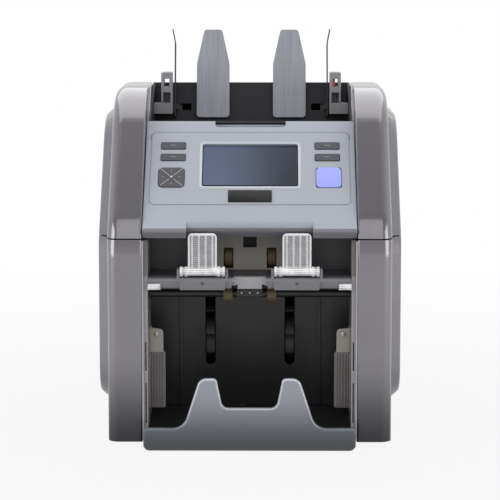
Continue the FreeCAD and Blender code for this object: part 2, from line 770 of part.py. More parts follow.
def stacker_back():
    """Leaning rear wall of the stacker, slotted for the finned wheels."""
    path = [(STACK_WALL_FOOT_Y, BED_REAR_Z + FIT_GAP), (STACK_WALL_TOP_Y, STACK_WALL_TOP_Z)]
    wall = prism_x(sheet_outline(path, -MOULDED_WALL), -LINER_IN, LINER_IN)
    half = WHEEL_WIDTH / 2 + SLOT_GAP
    slots = []
    for x in (-WHEEL_X, WHEEL_X):
        corners = rectangle(x, STACKER_Z, half, WHEEL_RADIUS + SLOT_GAP, half - RUN_GAP)
        slots.append(prism_y(corners, STACK_WALL_TOP_Y - WHEEL_WIDTH, STACK_WALL_FOOT_Y + WHEEL_WIDTH))
    rib = sheet_outline(path, STACK_RIB)
    ribs = [prism_x(rib, x - STACK_RIB, x + STACK_RIB) for x in (-STACK_RIB_X, STACK_RIB_X)]
    return fused([wall] + ribs).cut(slots)


def pocket_liner():
    """Right side wall of the two pockets with upright ribs and two sensor slots."""
    front = BODY_FRONT + COVER_WALL
    rear = STACK_WALL_FOOT_Y + MOULDED_WALL
    wall = prism_x([(front, LINER_LOW_Z), (front, LINER_KNEE_Z, LINER_KNEE_RADIUS),
                    (front + LINER_LEAN, LINER_TOP_Z),
                    (REJECT_WALL_Y, LINER_TOP_Z), (REJECT_WALL_Y, STACK_WALL_TOP_Z),
                    (rear, STACK_WALL_TOP_Z), (rear, LINER_LOW_Z)], LINER_IN, FRAME_IN)
    passages = [rod(y, z, SHAFT_RADIUS + SLOT_GAP, LINER_IN - OVER, FRAME_IN + OVER)
                for y, z in ((EXIT_Y, EXIT_Z), (REJECT_Y, REJECT_Z))]
    ribs = []
    for i in range(LINER_RIBS):
        y = GUARD_Y - LINER_RIB_PITCH * (i + 1) / 2
        ribs.append(block(LINER_IN - LINER_RIB, LINER_IN, y - LINER_RIB, y, LINER_RIB_LOW, GUARD_LOW_Z))
    slots = [block(LINER_IN - LINER_RIB, LINER_IN + LINER_WALL / 2, LINER_SLOT_Y,
                   LINER_SLOT_Y + LINER_RIB_PITCH, z, z + LINER_SLOT_TALL)
             for z in (LINER_RIB_LOW, LINER_RIB_LOW + LINER_SLOT_PITCH)]
    middle = (LINER_IN + FRAME_IN) / 2
    edge_slots = [block(middle - EDGE_SLOT_WIDTH / 2, middle + EDGE_SLOT_WIDTH / 2, front - OVER,
                        front + EDGE_SLOT_DEPTH, low, high)
                  for low, high in EDGE_SLOTS]
    return fused([wall] + ribs).cut(slots + passages + edge_slots)


def stack_guard():
    """Right guard of the stacker: an angle screwed to the liner, with a ribbed skirt below it."""
    inner = LINER_IN - GUARD_WIDTH
    skirt_in = LINER_IN - GUARD_SKIRT_WIDTH
    rear = GUARD_Y + GUARD_SHEET
    tab = prism_y([(inner, GUARD_LOW_Z), (LINER_IN, GUARD_LOW_Z), (LINER_IN, GUARD_HIGH_Z),
                   (inner, GUARD_HIGH_Z - GUARD_SHEET, GUARD_TOP_RADIUS)], GUARD_Y, rear)
    skirt = prism_y([(skirt_in, GUARD_SKIRT_Z, GUARD_FOOT_RADIUS), (LINER_IN, GUARD_SKIRT_Z),
                     (LINER_IN, GUARD_LOW_Z), (skirt_in, GUARD_LOW_Z, GUARD_FOOT_RADIUS)], GUARD_Y, rear)
    leg = block(LINER_IN - GUARD_SHEET, LINER_IN, GUARD_Y, GUARD_Y + GUARD_WIDTH, GUARD_LOW_Z, GUARD_HIGH_Z)
    pitch = (GUARD_SKIRT_WIDTH - 2 * GUARD_RIB_INSET - GUARD_RIB) / (GUARD_RIBS - 1)
    ribs = []
    for i in range(GUARD_RIBS):
        x = skirt_in + GUARD_RIB_INSET + i * pitch
        ribs.append(block(x, x + GUARD_RIB, GUARD_Y - GUARD_RIB, GUARD_Y, GUARD_SKIRT_Z + GUARD_FOOT_RADIUS,
                          GUARD_LOW_Z - GUARD_FOOT_RADIUS))
    return fused([tab, skirt, leg] + ribs)


def reject_bar():
    """Channel across the front of the reject pocket, with notches and lugs for the stoppers."""
    rear = BAR_FRONT + BAR_DEPTH
    path = [(rear, BAR_BOTTOM), (BAR_FRONT + BAR_LEAN, BAR_BOTTOM, BAR_BEND), (BAR_FRONT, BAR_TOP, BAR_BEND),
            (rear, BAR_TOP)]
    channel = prism_x(sheet_outline(path, -BAR_WALL), -LINER_IN, LINER_IN)
    gap = block(-BAR_MIDDLE_HALF, BAR_MIDDLE_HALF, BAR_FRONT - OVER, BAR_FRONT + BAR_SET_BACK,
                BAR_BOTTOM - OVER, BAR_TOP + OVER)
    middle = block(-BAR_MIDDLE_HALF, BAR_MIDDLE_HALF, BAR_FRONT + BAR_SET_BACK,
                   BAR_FRONT + BAR_SET_BACK + BAR_WALL, BAR_BOTTOM, BAR_TOP)
    ends = []
    notches = []
    for side in (-1, 1):
        near = side * BAR_MIDDLE_HALF
        far = near + side * BAR_WALL
        ends.append(block(min(near, far), max(near, far), BAR_FRONT + BAR_WALL, rear, BAR_BOTTOM, BAR_TOP))
        notches.append(block(near - BAR_NOTCH_WIDTH / 2, near + BAR_NOTCH_WIDTH / 2, BAR_FRONT - OVER,
                             rear + OVER, BAR_BOTTOM - OVER, BAR_BOTTOM + BAR_NOTCH_TALL))
    notches += both_sides(block(LINER_IN - LENS_WIDTH, LINER_IN + OVER, BAR_FRONT - OVER,
                                BAR_FRONT + LENS_SEAT, BAR_BOTTOM - OVER, BAR_BOTTOM + LENS_TALL))
    bosses = [bar_boss(x) for x in (-STOPPER_X, STOPPER_X)]
    lugs = []
    for x in (-STOPPER_X, STOPPER_X):
        for side in (-1, 1):
            inner = x + side * (STOPPER_EAR_HALF + FIT_GAP)
            outer = inner + side * LUG_WIDTH
            lugs.append(lug(min(inner, outer), max(inner, outer)))
            pin_tip = inner - side * LUG_PIN
            lugs.append(rod(STOPPER_AXIS_Y, STOPPER_AXIS_Z, STOPPER_PIN, min(pin_tip, outer),
                            max(pin_tip, outer)))
    bar = fused([channel.cut(gap), middle] + ends + bosses)
    return fused([bar.cut(notches)] + lugs)


def bar_boss(x):
    """Raised pad on the bar's front under one stopper, with a square sight hole."""
    top = BAR_TOP - BAR_BOSS_DROP
    face = rectangle(x, (BAR_BOTTOM + top) / 2, STOPPER_EAR_HALF, (top - BAR_BOTTOM) / 2, BAR_BOSS_ROUND)
    pad = prism_y(face, BAR_FRONT - BAR_BOSS_PROUD, BAR_FRONT + BAR_LEAN + BAR_WALL / 2)
    half = BAR_BOSS_HOLE / 2
    middle = top - BAR_BOSS_HOLE
    hole = block(x - half, x + half, BAR_FRONT - BAR_BOSS_PROUD - OVER, BAR_FRONT, middle - half,
                 middle + half)
    return pad.cut(hole)


def lug(x0, x1):
    """Ear on the bar that carries one end of a stopper."""
    foot = block(x0, x1, STOPPER_AXIS_Y - LUG_RADIUS, STOPPER_AXIS_Y + LUG_RADIUS, BAR_TOP - BAR_WALL,
                 STOPPER_AXIS_Z)
    return foot.fuse(rod(STOPPER_AXIS_Y, STOPPER_AXIS_Z, LUG_RADIUS, x0, x1))


def sensor_lenses():
    """Clear lens seated in the notch at each end of the bar."""
    face = rectangle(LINER_IN - LENS_WIDTH / 2, BAR_BOTTOM + LENS_TALL / 2, LENS_WIDTH / 2, LENS_TALL / 2)
    one = prism_y(face, BAR_FRONT - LENS_PROUD, BAR_FRONT + LENS_SEAT)
    rim = [edge for edge in one.Edges
           if all(abs(p.Point.y - BAR_FRONT + LENS_PROUD) < 1e-6 for p in edge.Vertexes)]
    return both_sides(one.makeFillet(LENS_RADIUS, rim))


def reject_tray():
    """Floor and rear wall of the reject pocket with a raised, slotted centre panel."""
    front = BAR_FRONT + BAR_DEPTH
    path = [(front, BAR_TOP), (REJECT_WALL_Y, REJECT_FLOOR_Z)]
    floor = prism_x(sheet_outline(path, -SHEET), -LINER_IN, LINER_IN)
    inner = REJECT_PANEL_HALF - SHEET
    right = [(inner, REJECT_PANEL_Y + SHEET), (inner, REJECT_WALL_Y), (LINER_IN, REJECT_WALL_Y),
             (LINER_IN, REJECT_WALL_Y - SHEET), (REJECT_PANEL_HALF, REJECT_WALL_Y - SHEET),
             (REJECT_PANEL_HALF, REJECT_PANEL_Y, REJECT_PANEL_RADIUS)]
    wall = prism_z(mirror_corners(right), BAR_TOP, REJECT_TOP_Z)
    half = REJECT_ROLLER_WIDTH / 2 + SLOT_GAP
    reach = REJECT_ROLLER_RADIUS + SLOT_GAP
    slots = [block(x - half, x + half, REJECT_PANEL_Y - OVER, REJECT_WALL_Y + OVER, REJECT_Z - reach,
                   REJECT_Z + reach)
             for x in (-ROLLER_NEAR_X, ROLLER_NEAR_X)]
    eye = block(-REJECT_EYE_HALF, REJECT_EYE_HALF, REJECT_PANEL_Y - OVER, REJECT_PANEL_Y + SHEET + OVER,
                REJECT_SLOT_TOP, REJECT_TOP_Z + OVER)
    return fused([floor, wall]).cut(slots + [eye])


def stopper(x):
    """Clear ribbed stopper on its barrel; the plate stands up from the hinge."""
    barrel = [rod(STOPPER_AXIS_Y, STOPPER_AXIS_Z, STOPPER_BARREL, x - STOPPER_EAR_HALF, x + STOPPER_EAR_HALF)]
    for side in (-1, 1):
        for i in range(STOPPER_COLLARS):
            at = x + side * (STOPPER_EAR_HALF - STOPPER_COLLAR_WIDTH / 2 - i * STOPPER_COLLAR_PITCH)
            barrel.append(rod(STOPPER_AXIS_Y, STOPPER_AXIS_Z, STOPPER_COLLAR, at - STOPPER_COLLAR_WIDTH / 2,
                              at + STOPPER_COLLAR_WIDTH / 2))
    front = STOPPER_AXIS_Y - STOPPER_THICK / 2
    middle = (STOPPER_AXIS_Z + STOPPER_TOP_Z) / 2
    half = (STOPPER_TOP_Z - STOPPER_AXIS_Z) / 2
    plate = prism_y([(x - STOPPER_HALF, middle - half), (x + STOPPER_HALF, middle - half),
                     (x + STOPPER_HALF, middle + half, STOPPER_RADIUS),
                     (x - STOPPER_HALF, middle + half, STOPPER_RADIUS)], front, front + STOPPER_THICK)
    pitch = 2 * (STOPPER_HALF - STOPPER_RADIUS) / (STOPPER_RIB_COUNT - 1)
    ribs = []
    for i in range(STOPPER_RIB_COUNT):
        at = x - STOPPER_HALF + STOPPER_RADIUS + i * pitch
        ribs.append(block(at - STOPPER_RIB / 2, at + STOPPER_RIB / 2, front - STOPPER_RIB, front,
                          STOPPER_AXIS_Z, STOPPER_TOP_Z - STOPPER_RADIUS / 2))
    bore = LUG_PIN + FIT_GAP + RUN_GAP
    bores = []
    for side in (-1, 1):
        mouth = x + side * (STOPPER_EAR_HALF + OVER)
        end = x + side * (STOPPER_EAR_HALF - bore)
        bores.append(rod(STOPPER_AXIS_Y, STOPPER_AXIS_Z, STOPPER_PIN + RUN_GAP, min(mouth, end),
                         max(mouth, end)))
    return fused(barrel + [plate] + ribs).cut(bores)


def involute(angle):
    return math.tan(angle) - angle


def gear_blank(y, z, teeth, phase, x0, x1):
    """Spur gear along X with involute flanks; phase is the angle of one tooth from +Y."""
    pitch_radius = MODULE * teeth / 2
    base_radius = pitch_radius * math.cos(math.radians(PRESSURE_ANGLE))
    tip_radius = pitch_radius + MODULE * ADDENDUM
    root_radius = pitch_radius - MODULE * DEDENDUM
    pitch_half = math.pi / (2 * teeth) - BACKLASH / (2 * pitch_radius)

    def half_angle(radius):
        lean = math.acos(min(1.0, base_radius / radius))
        return pitch_half + involute(math.radians(PRESSURE_ANGLE)) - involute(lean)

    flank = [root_radius, max(base_radius, root_radius + MODULE / 4), pitch_radius, tip_radius]
    points = []
    for tooth in range(teeth):
        centre = math.radians(phase) + 2 * math.pi * tooth / teeth
        rising = [(radius, centre - half_angle(radius)) for radius in flank]
        falling = [(radius, centre + half_angle(radius)) for radius in reversed(flank)]
        for radius, angle in rising + falling:
            points.append(V(x0, y + radius * math.cos(angle), z + radius * math.sin(angle)))
    wire = Part.makePolygon(points + points[:1])
    return Part.Face(wire).extrude(V(x1 - x0, 0, 0))


def mating_phase(phase, teeth, line, mate_teeth):
    """Phase of the mate along a line of centres, with its gap against the first gear's tooth."""
    return line + 180 - 180 / mate_teeth - (phase - line) * teeth / mate_teeth


STACKER_PHASE = 0.0
TRANSPORT_PHASE = mating_phase(STACKER_PHASE, STACKER_TEETH, TRANSPORT_LINE, TRANSPORT_TEETH)
EXIT_PHASE = mating_phase(STACKER_PHASE, STACKER_TEETH, EXIT_LINE, EXIT_TEETH)
REJECT_PHASE = mating_phase(EXIT_PHASE, EXIT_TEETH, REJECT_LINE, REJECT_TEETH)
PICKUP_PHASE = 0.0
FEED_PHASE = mating_phase(PICKUP_PHASE, PICKUP_TEETH, FEED_LINE, FEED_TEETH)
PINION_PHASE = mating_phase(FEED_PHASE, FEED_TEETH, PINION_LINE, PINION_TEETH)
GEAR_OUT = -FRAME_OUT - GEAR_GAP - GEAR_WIDTH
GEAR_IN = -FRAME_OUT - GEAR_GAP
SHAFT_LEFT = GEAR_OUT - SHAFT_OVERHANG
SHAFT_RIGHT = FRAME_OUT + BUSH_FLANGE_THICK + SHAFT_OVERHANG


def drive_gear(y, z, teeth, phase):
    """Gear with a hub that reaches back to the bush, bored for its shaft."""
    hub = rod(y, z, SHAFT_RADIUS + BUSH_WALL + BUSH_FLANGE, GEAR_OUT, GEAR_IN + HUB_REACH)
    bore = rod(y, z, SHAFT_RADIUS, GEAR_OUT - OVER, GEAR_IN + HUB_REACH + OVER)
    return gear_blank(y, z, teeth, phase, GEAR_OUT, GEAR_IN).fuse(hub).cut(bore)


def shaft(y, z):
    return rod(y, z, SHAFT_RADIUS, SHAFT_LEFT, SHAFT_RIGHT)


def roller(x, y, z, radius, width):
    """Tyred roller: a waisted revolve with rounded shoulders, bored for its shaft."""
    half = width / 2
    section = [(-half, SHAFT_RADIUS), (-half, radius, ROLLER_SHOULDER), (half, radius, ROLLER_SHOULDER),
               (half, SHAFT_RADIUS)]
    wire = rounded_wire(section, lambda p: V(x + p.x, y, z + p.y))
    return Part.Face(wire).revolve(V(x, y, z), V(1, 0, 0), 360)


def roller_pair(y, z, radius, width, places):
    return [roller(side * x, y, z, radius, width) for x in places for side in (-1, 1)]


def finned_wheel(x):
    """Stacker wheel: a hub with swept fins that reach through the slots in the stacker's back."""
    x0 = x - WHEEL_WIDTH / 2
    hub = rod(STACKER_Y, STACKER_Z, WHEEL_HUB, x0, x0 + WHEEL_WIDTH)
    fins = []
    for i in range(WHEEL_FINS):
        turn = 360.0 * i / WHEEL_FINS
        fins.append(wheel_fin(x0, turn))
    bore = rod(STACKER_Y, STACKER_Z, SHAFT_RADIUS, x0 - OVER, x0 + WHEEL_WIDTH + OVER)
    return fused([hub] + fins).cut(bore)


def wheel_fin(x0, turn):
    def at(radius, angle):
        y, z = polar(STACKER_Y, STACKER_Z, radius, turn + angle)
        return V(x0, y, z)

    middle = (WHEEL_HUB + WHEEL_RADIUS) / 2
    bend = WHEEL_SWEEP * WHEEL_BEND
    root = math.degrees(WHEEL_FIN / WHEEL_HUB)
    waist = math.degrees(WHEEL_FIN / middle)
    tip = math.degrees(WHEEL_FIN / WHEEL_RADIUS)
    inner = WHEEL_HUB - WHEEL_FIN
    wire = Part.Wire([
        Part.Arc(at(inner, 0), at(middle, bend), at(WHEEL_RADIUS, WHEEL_SWEEP)).toShape(),
        Part.makeLine(at(WHEEL_RADIUS, WHEEL_SWEEP), at(WHEEL_RADIUS, WHEEL_SWEEP + tip)),
        Part.Arc(at(WHEEL_RADIUS, WHEEL_SWEEP + tip), at(middle, bend + waist), at(inner, root)).toShape(),
        Part.makeLine(at(inner, root), at(inner, 0))])
    return Part.Face(wire).extrude(V(WHEEL_WIDTH, 0, 0))


def bush(y, z, side):
    """Flanged bush in a frame hole, its flange on the outside."""
    sleeve = rod(y, z, SHAFT_RADIUS + BUSH_WALL, FRAME_IN, FRAME_OUT + BUSH_FLANGE_THICK)
    flange = rod(y, z, SHAFT_RADIUS + BUSH_WALL + BUSH_FLANGE, FRAME_OUT, FRAME_OUT + BUSH_FLANGE_THICK)
    bore = rod(y, z, SHAFT_RADIUS + RUN_GAP, FRAME_IN - OVER, FRAME_OUT + BUSH_FLANGE_THICK + OVER)
    made = sleeve.fuse(flange).cut(bore)
    return made if side > 0 else mirrored(made)


def shaft_bushes():
    places = [(TRANSPORT_Y, TRANSPORT_Z), (STACKER_Y, STACKER_Z), (EXIT_Y, EXIT_Z), (REJECT_Y, REJECT_Z)]
    return [bush(y, z, side) for y, z in places for side in (-1, 1)]


def belt_outline(grow):
    """Open belt run round the motor and transport pulleys, grown outwards, as a face."""
    radius_a = MOTOR_PULLEY + grow
    radius_b = TRANSPORT_PULLEY + grow
    dy = TRANSPORT_Y - MOTOR_Y
    dz = TRANSPORT_Z - MOTOR_Z
    line = math.degrees(math.atan2(dz, dy))
    spread = math.degrees(math.acos((radius_a - radius_b) / math.hypot(dy, dz)))

    def at(y, z, radius, angle):
        place = polar(y, z, radius, angle)
        return V(BELT_X, place[0], place[1])

    a_low = at(MOTOR_Y, MOTOR_Z, radius_a, line - spread)
    a_far = at(MOTOR_Y, MOTOR_Z, radius_a, line + 180)
    a_high = at(MOTOR_Y, MOTOR_Z, radius_a, line + spread)
    b_low = at(TRANSPORT_Y, TRANSPORT_Z, radius_b, line - spread)
    b_far = at(TRANSPORT_Y, TRANSPORT_Z, radius_b, line)
    b_high = at(TRANSPORT_Y, TRANSPORT_Z, radius_b, line + spread)
    return Part.Face(Part.Wire([
        Part.Arc(a_high, a_far, a_low).toShape(), Part.makeLine(a_low, b_low),
        Part.Arc(b_low, b_far, b_high).toShape(), Part.makeLine(b_high, a_high)]))


def drive_belt():
    run = V(BELT_WIDTH, 0, 0)
    return belt_outline(BELT_GAP + BELT_THICK).extrude(run).cut(belt_outline(BELT_GAP).extrude(run))


def pulley(y, z, radius, bore):
    """Flat pulley with a flange on each side of the belt."""
    x0 = BELT_X - BELT_GAP - PULLEY_FLANGE_THICK
    x1 = BELT_X + BELT_WIDTH + BELT_GAP + PULLEY_FLANGE_THICK
    rim = radius + BELT_THICK + PULLEY_FLANGE
    drum = rod(y, z, radius, x0, x1)
    cheeks = [rod(y, z, rim, x0, x0 + PULLEY_FLANGE_THICK), rod(y, z, rim, x1 - PULLEY_FLANGE_THICK, x1)]
    return fused([drum] + cheeks).cut(rod(y, z, bore, x0 - OVER, x1 + OVER))


def main_motor():
    """Drive motor on the right frame, with a stepped can and a bored nose."""
    x1 = FRAME_IN
    can = rod(MOTOR_Y, MOTOR_Z, MOTOR_RADIUS, x1 - MOTOR_LENGTH, x1 - MOTOR_FLANGE)
    flange = prism_x(rectangle(MOTOR_Y, MOTOR_Z, MOTOR_RADIUS, MOTOR_RADIUS, MOTOR_BOSS),
                     x1 - MOTOR_FLANGE, x1)
    nose = rod(MOTOR_Y, MOTOR_Z, MOTOR_BOSS, x1, FRAME_OUT)
    tail = rod(MOTOR_Y, MOTOR_Z, MOTOR_TAIL, x1 - MOTOR_LENGTH - MOTOR_FLANGE, x1 - MOTOR_LENGTH)
    bore = rod(MOTOR_Y, MOTOR_Z, MOTOR_SHAFT + RUN_GAP, x1 - MOTOR_BOSS, FRAME_OUT + OVER)
    return fused([can, flange, nose, tail]).cut(bore)


def motor_pulley():
    x1 = BELT_X + BELT_WIDTH + BELT_GAP + PULLEY_FLANGE_THICK
    spindle = rod(MOTOR_Y, MOTOR_Z, MOTOR_SHAFT, FRAME_IN - MOTOR_BOSS + FIT_GAP, x1)
    return pulley(MOTOR_Y, MOTOR_Z, MOTOR_PULLEY, MOTOR_SHAFT).fuse(spindle).removeSplitter()


def feed_motor():
    """Small motor inside the left upper frame; its nose passes through the sheet."""
    x0 = -FRAME_IN
    can = rod(PINION_Y, PINION_Z, FEED_MOTOR_RADIUS, x0, x0 + FEED_MOTOR_LENGTH)
    nose = rod(PINION_Y, PINION_Z, MOTOR_BOSS, -FRAME_OUT, x0)
    tail = rod(PINION_Y, PINION_Z, MOTOR_BOSS, x0 + FEED_MOTOR_LENGTH,
               x0 + FEED_MOTOR_LENGTH + MOTOR_FLANGE)
    bore = rod(PINION_Y, PINION_Z, MOTOR_SHAFT + RUN_GAP, -FRAME_OUT - OVER, x0 + MOTOR_BOSS)
    return fused([can, nose, tail]).cut(bore)


def feed_pinion():
    teeth = gear_blank(PINION_Y, PINION_Z, PINION_TEETH, PINION_PHASE, GEAR_OUT, GEAR_IN)
    spindle = rod(PINION_Y, PINION_Z, MOTOR_SHAFT, GEAR_OUT, -FRAME_IN + MOTOR_BOSS - FIT_GAP)
    return teeth.fuse(spindle).removeSplitter()


def transport_deck():
    """Guide plate with turned-down edges, slotted for the rollers and the image sensor."""
    path = [(DECK_FRONT_Y, DECK_TOP - DECK_FLANGE), (DECK_FRONT_Y, DECK_TOP, DECK_BEND),
            (DECK_REAR_Y, DECK_TOP, DECK_BEND), (DECK_REAR_Y, DECK_TOP - DECK_FLANGE)]
    plate = prism_x(sheet_outline(path, -SHEET), -FRAME_IN, FRAME_IN)
    half = TRANSPORT_ROLLER_WIDTH / 2 + SLOT_GAP
    length = TRANSPORT_ROLLER_RADIUS + SLOT_GAP
    slots = [block(x - half, x + half, TRANSPORT_Y - length, TRANSPORT_Y + length,
                   DECK_TOP - SHEET - OVER, DECK_TOP + OVER)
             for x in (-ROLLER_FAR_X, -ROLLER_NEAR_X, ROLLER_NEAR_X, ROLLER_FAR_X)]
    mouth = SENSOR_WIDTH / 2 + FIT_GAP
    slots.append(block(-SENSOR_HALF - FIT_GAP, SENSOR_HALF + FIT_GAP, SENSOR_Y - mouth, SENSOR_Y + mouth,
                       DECK_TOP - SHEET - OVER, DECK_TOP + OVER))
    return plate.cut(slots)


def image_sensor():
    """Line sensor bar: a glass-topped head standing through the deck on a wider body."""
    under = DECK_TOP - SHEET
    head = block(-SENSOR_HALF, SENSOR_HALF, SENSOR_Y - SENSOR_WIDTH / 2, SENSOR_Y + SENSOR_WIDTH / 2,
                 under, DECK_TOP)
    section = rectangle(SENSOR_Y, under - SENSOR_TALL / 2, SENSOR_WIDTH / 2 + SENSOR_RIM, SENSOR_TALL / 2,
                        SENSOR_EDGE)
    body = prism_x(section, -SENSOR_HALF - SENSOR_RIM, SENSOR_HALF + SENSOR_RIM)
    return fused([body, head])


def diverter_gate():
    """Shaft with a row of wedge fingers that opens the upper or the lower path."""
    made = [rod(GATE_Y, GATE_Z, GATE_SHAFT, -FRAME_OUT, FRAME_OUT)]
    first = -GATE_PITCH * (GATE_COUNT - 1) / 2
    wedge = [(GATE_Y, GATE_Z - GATE_SHAFT), (GATE_Y - GATE_FINGER, GATE_Z - GATE_TIP),
             (GATE_Y - GATE_FINGER, GATE_Z + GATE_TIP), (GATE_Y, GATE_Z + GATE_SHAFT)]
    for i in range(GATE_COUNT):
        x = first + i * GATE_PITCH
        made.append(prism_x(wedge, x - GATE_FINGER_WIDTH / 2, x + GATE_FINGER_WIDTH / 2))
    return fused(made)


def power_supply():
    """Folded supply case on the pan with vent slots along its top."""
    z0 = PAN_TOP
    case = block(SUPPLY_X - SUPPLY_LENGTH / 2, SUPPLY_X + SUPPLY_LENGTH / 2,
                 SUPPLY_Y - SUPPLY_DEPTH / 2, SUPPLY_Y + SUPPLY_DEPTH / 2, z0, z0 + SUPPLY_TALL)
    pitch = SUPPLY_LENGTH / (SUPPLY_VENTS + 1)
    vents = []
    for i in range(SUPPLY_VENTS):
        x = SUPPLY_X - SUPPLY_LENGTH / 2 + (i + 1) * pitch
        vents.append(block(x - VENT_WIDTH / 2, x + VENT_WIDTH / 2, SUPPLY_Y - SUPPLY_VENT_HALF,
                           SUPPLY_Y + SUPPLY_VENT_HALF, z0 + SUPPLY_TALL - SHEET, z0 + SUPPLY_TALL + OVER))
    return case.cut(vents)


def main_board():
    """Logic board on four posts with its larger parts."""
    z0 = PAN_TOP + LOGIC_POST
    x0 = LOGIC_X - LOGIC_WIDTH / 2
    y0 = LOGIC_Y - LOGIC_DEPTH / 2
    made = [block(x0, x0 + LOGIC_WIDTH, y0, y0 + LOGIC_DEPTH, z0, z0 + BOARD_THICK)]
    for x in (x0 + LOGIC_INSET, x0 + LOGIC_WIDTH - LOGIC_INSET):
        for y in (y0 + LOGIC_INSET, y0 + LOGIC_DEPTH - LOGIC_INSET):
            made.append(peg(x, y, PAN_TOP, BOARD_POST_RADIUS, LOGIC_POST, V(0, 0, 1)))
    top = z0 + BOARD_THICK
    chip = CHIP_SIZE / 2
    made.append(block(LOGIC_X - chip, LOGIC_X + chip, LOGIC_Y - chip, LOGIC_Y + chip, top, top + CHIP_TALL))
    made.append(block(x0 + LOGIC_INSET, x0 + LOGIC_INSET + CHIP_SIZE, y0, y0 + HEADER_DEPTH, top,
                      top + HEADER_TALL))
    return fused(made)


def hinge_knuckle(x0, x1, up):
    """One hinge knuckle with its web, on the lower or the upper rear cover."""
    rise = 1 if up else -1
    edge = UPPER_BOTTOM + FRAME_SETBACK if up else LOWER_TOP - FRAME_SETBACK
    web = prism_x([(BODY_REAR - SHEET / 2, edge), (BODY_REAR - SHEET / 2, HINGE_Z + rise * HINGE_WEB),
                   (BODY_REAR, HINGE_Z + rise * HINGE_WEB),
                   (HINGE_Y + HINGE_HEEL, HINGE_Z + rise * HINGE_HEEL), (HINGE_Y, HINGE_Z)], x0, x1)
    barrel = rod(HINGE_Y, HINGE_Z, HINGE_RADIUS, x0, x1)
    return web.fuse(barrel).cut(rod(HINGE_Y, HINGE_Z, HINGE_PIN + RUN_GAP, x0 - OVER, x1 + OVER))


def hinge_knuckles(up):
    """Both knuckles of one leaf; the upper leaf's knuckle stands inboard of the lower one's."""
    x0 = HINGE_X - HINGE_LENGTH - HINGE_GAP if up else HINGE_X
    return both_sides(hinge_knuckle(x0, x0 + HINGE_LENGTH, up))


def hinge_pins():
    one = rod(HINGE_Y, HINGE_Z, HINGE_PIN, HINGE_X - HINGE_LENGTH - HINGE_GAP, HINGE_X + HINGE_LENGTH)
    return both_sides(one)


def rear_cover():
    """Lower rear cover with vents, socket openings and the fixed hinge leaves."""
    y0 = BODY_REAR - MOULDED_WALL
    wall = block(-FRAME_IN, FRAME_IN, y0, BODY_REAR, BODY_BOTTOM, LOWER_TOP - FRAME_SETBACK)
    cuts = []
    for i in range(VENT_COUNT):
        x = (i - (VENT_COUNT - 1) / 2) * VENT_PITCH
        half = VENT_WIDTH / 2
        cuts.append(prism_y(rectangle(x, VENT_Z, half, VENT_TALL / 2, half - RUN_GAP), y0 - OVER,
                            BODY_REAR + OVER))
    cuts.append(socket_room(INLET_X, INLET_WIDTH, INLET_TALL))
    cuts.append(socket_room(SWITCH_X, ROCKER_WIDTH + 2 * INLET_WALL, ROCKER_TALL + 2 * INLET_WALL))
    for i in range(PORT_COUNT):
        cuts.append(socket_room(PORT_X + i * PORT_PITCH, PORT_WIDTH, PORT_TALL))
    return fused([wall.cut(cuts)] + hinge_knuckles(False))


def socket_room(x, width, tall):
    return prism_y(rectangle(x, INLET_Z, width / 2 + RUN_GAP, tall / 2 + RUN_GAP), BODY_REAR - INLET_DEPTH,
                   BODY_REAR + OVER)


def socket_box(x, width, tall, wall, depth):
    """Open socket housing with a rim that seats on the outside of the rear cover."""
    y0 = BODY_REAR + SHEET / 2 - depth
    outer = prism_y(rectangle(x, INLET_Z, width / 2, tall / 2), y0, BODY_REAR)
    rim = prism_y(rectangle(x, INLET_Z, width / 2 + INLET_RIM, tall / 2 + INLET_RIM, INLET_RIM),
                  BODY_REAR, BODY_REAR + SHEET / 2)
    hollow = prism_y(rectangle(x, INLET_Z, width / 2 - wall, tall / 2 - wall), y0 + wall, BODY_REAR + SHEET)
    return outer.fuse(rim).cut(hollow)


def rear_sockets():
    """Power inlet with three blades, two data ports and the switch housing."""
    inlet = socket_box(INLET_X, INLET_WIDTH, INLET_TALL, INLET_WALL, INLET_DEPTH)
    blades = []
    for i in (-1, 0, 1):
        x = INLET_X + i * BLADE_SPACING
        z = INLET_Z + (BLADE_RISE if i == 0 else -BLADE_RISE)
        blades.append(block(x - BLADE_WIDTH / 2, x + BLADE_WIDTH / 2, BODY_REAR - INLET_DEPTH + INLET_WALL,
                            BODY_REAR - BLADE_SINK, z - BLADE_TALL / 2, z + BLADE_TALL / 2))
    ports = [socket_box(PORT_X + i * PORT_PITCH, PORT_WIDTH, PORT_TALL, PORT_WALL, PORT_DEPTH)
             for i in range(PORT_COUNT)]
    housing = socket_box(SWITCH_X, ROCKER_WIDTH + 2 * INLET_WALL, ROCKER_TALL + 2 * INLET_WALL,
                         INLET_WALL - FIT_GAP, PORT_DEPTH)
    pivot = rod(ROCKER_Y, INLET_Z, ROCKER_PIN + RUN_GAP, SWITCH_X - ROCKER_WIDTH, SWITCH_X + ROCKER_WIDTH)
    return [inlet.fuse(blades), housing.cut(pivot)] + ports


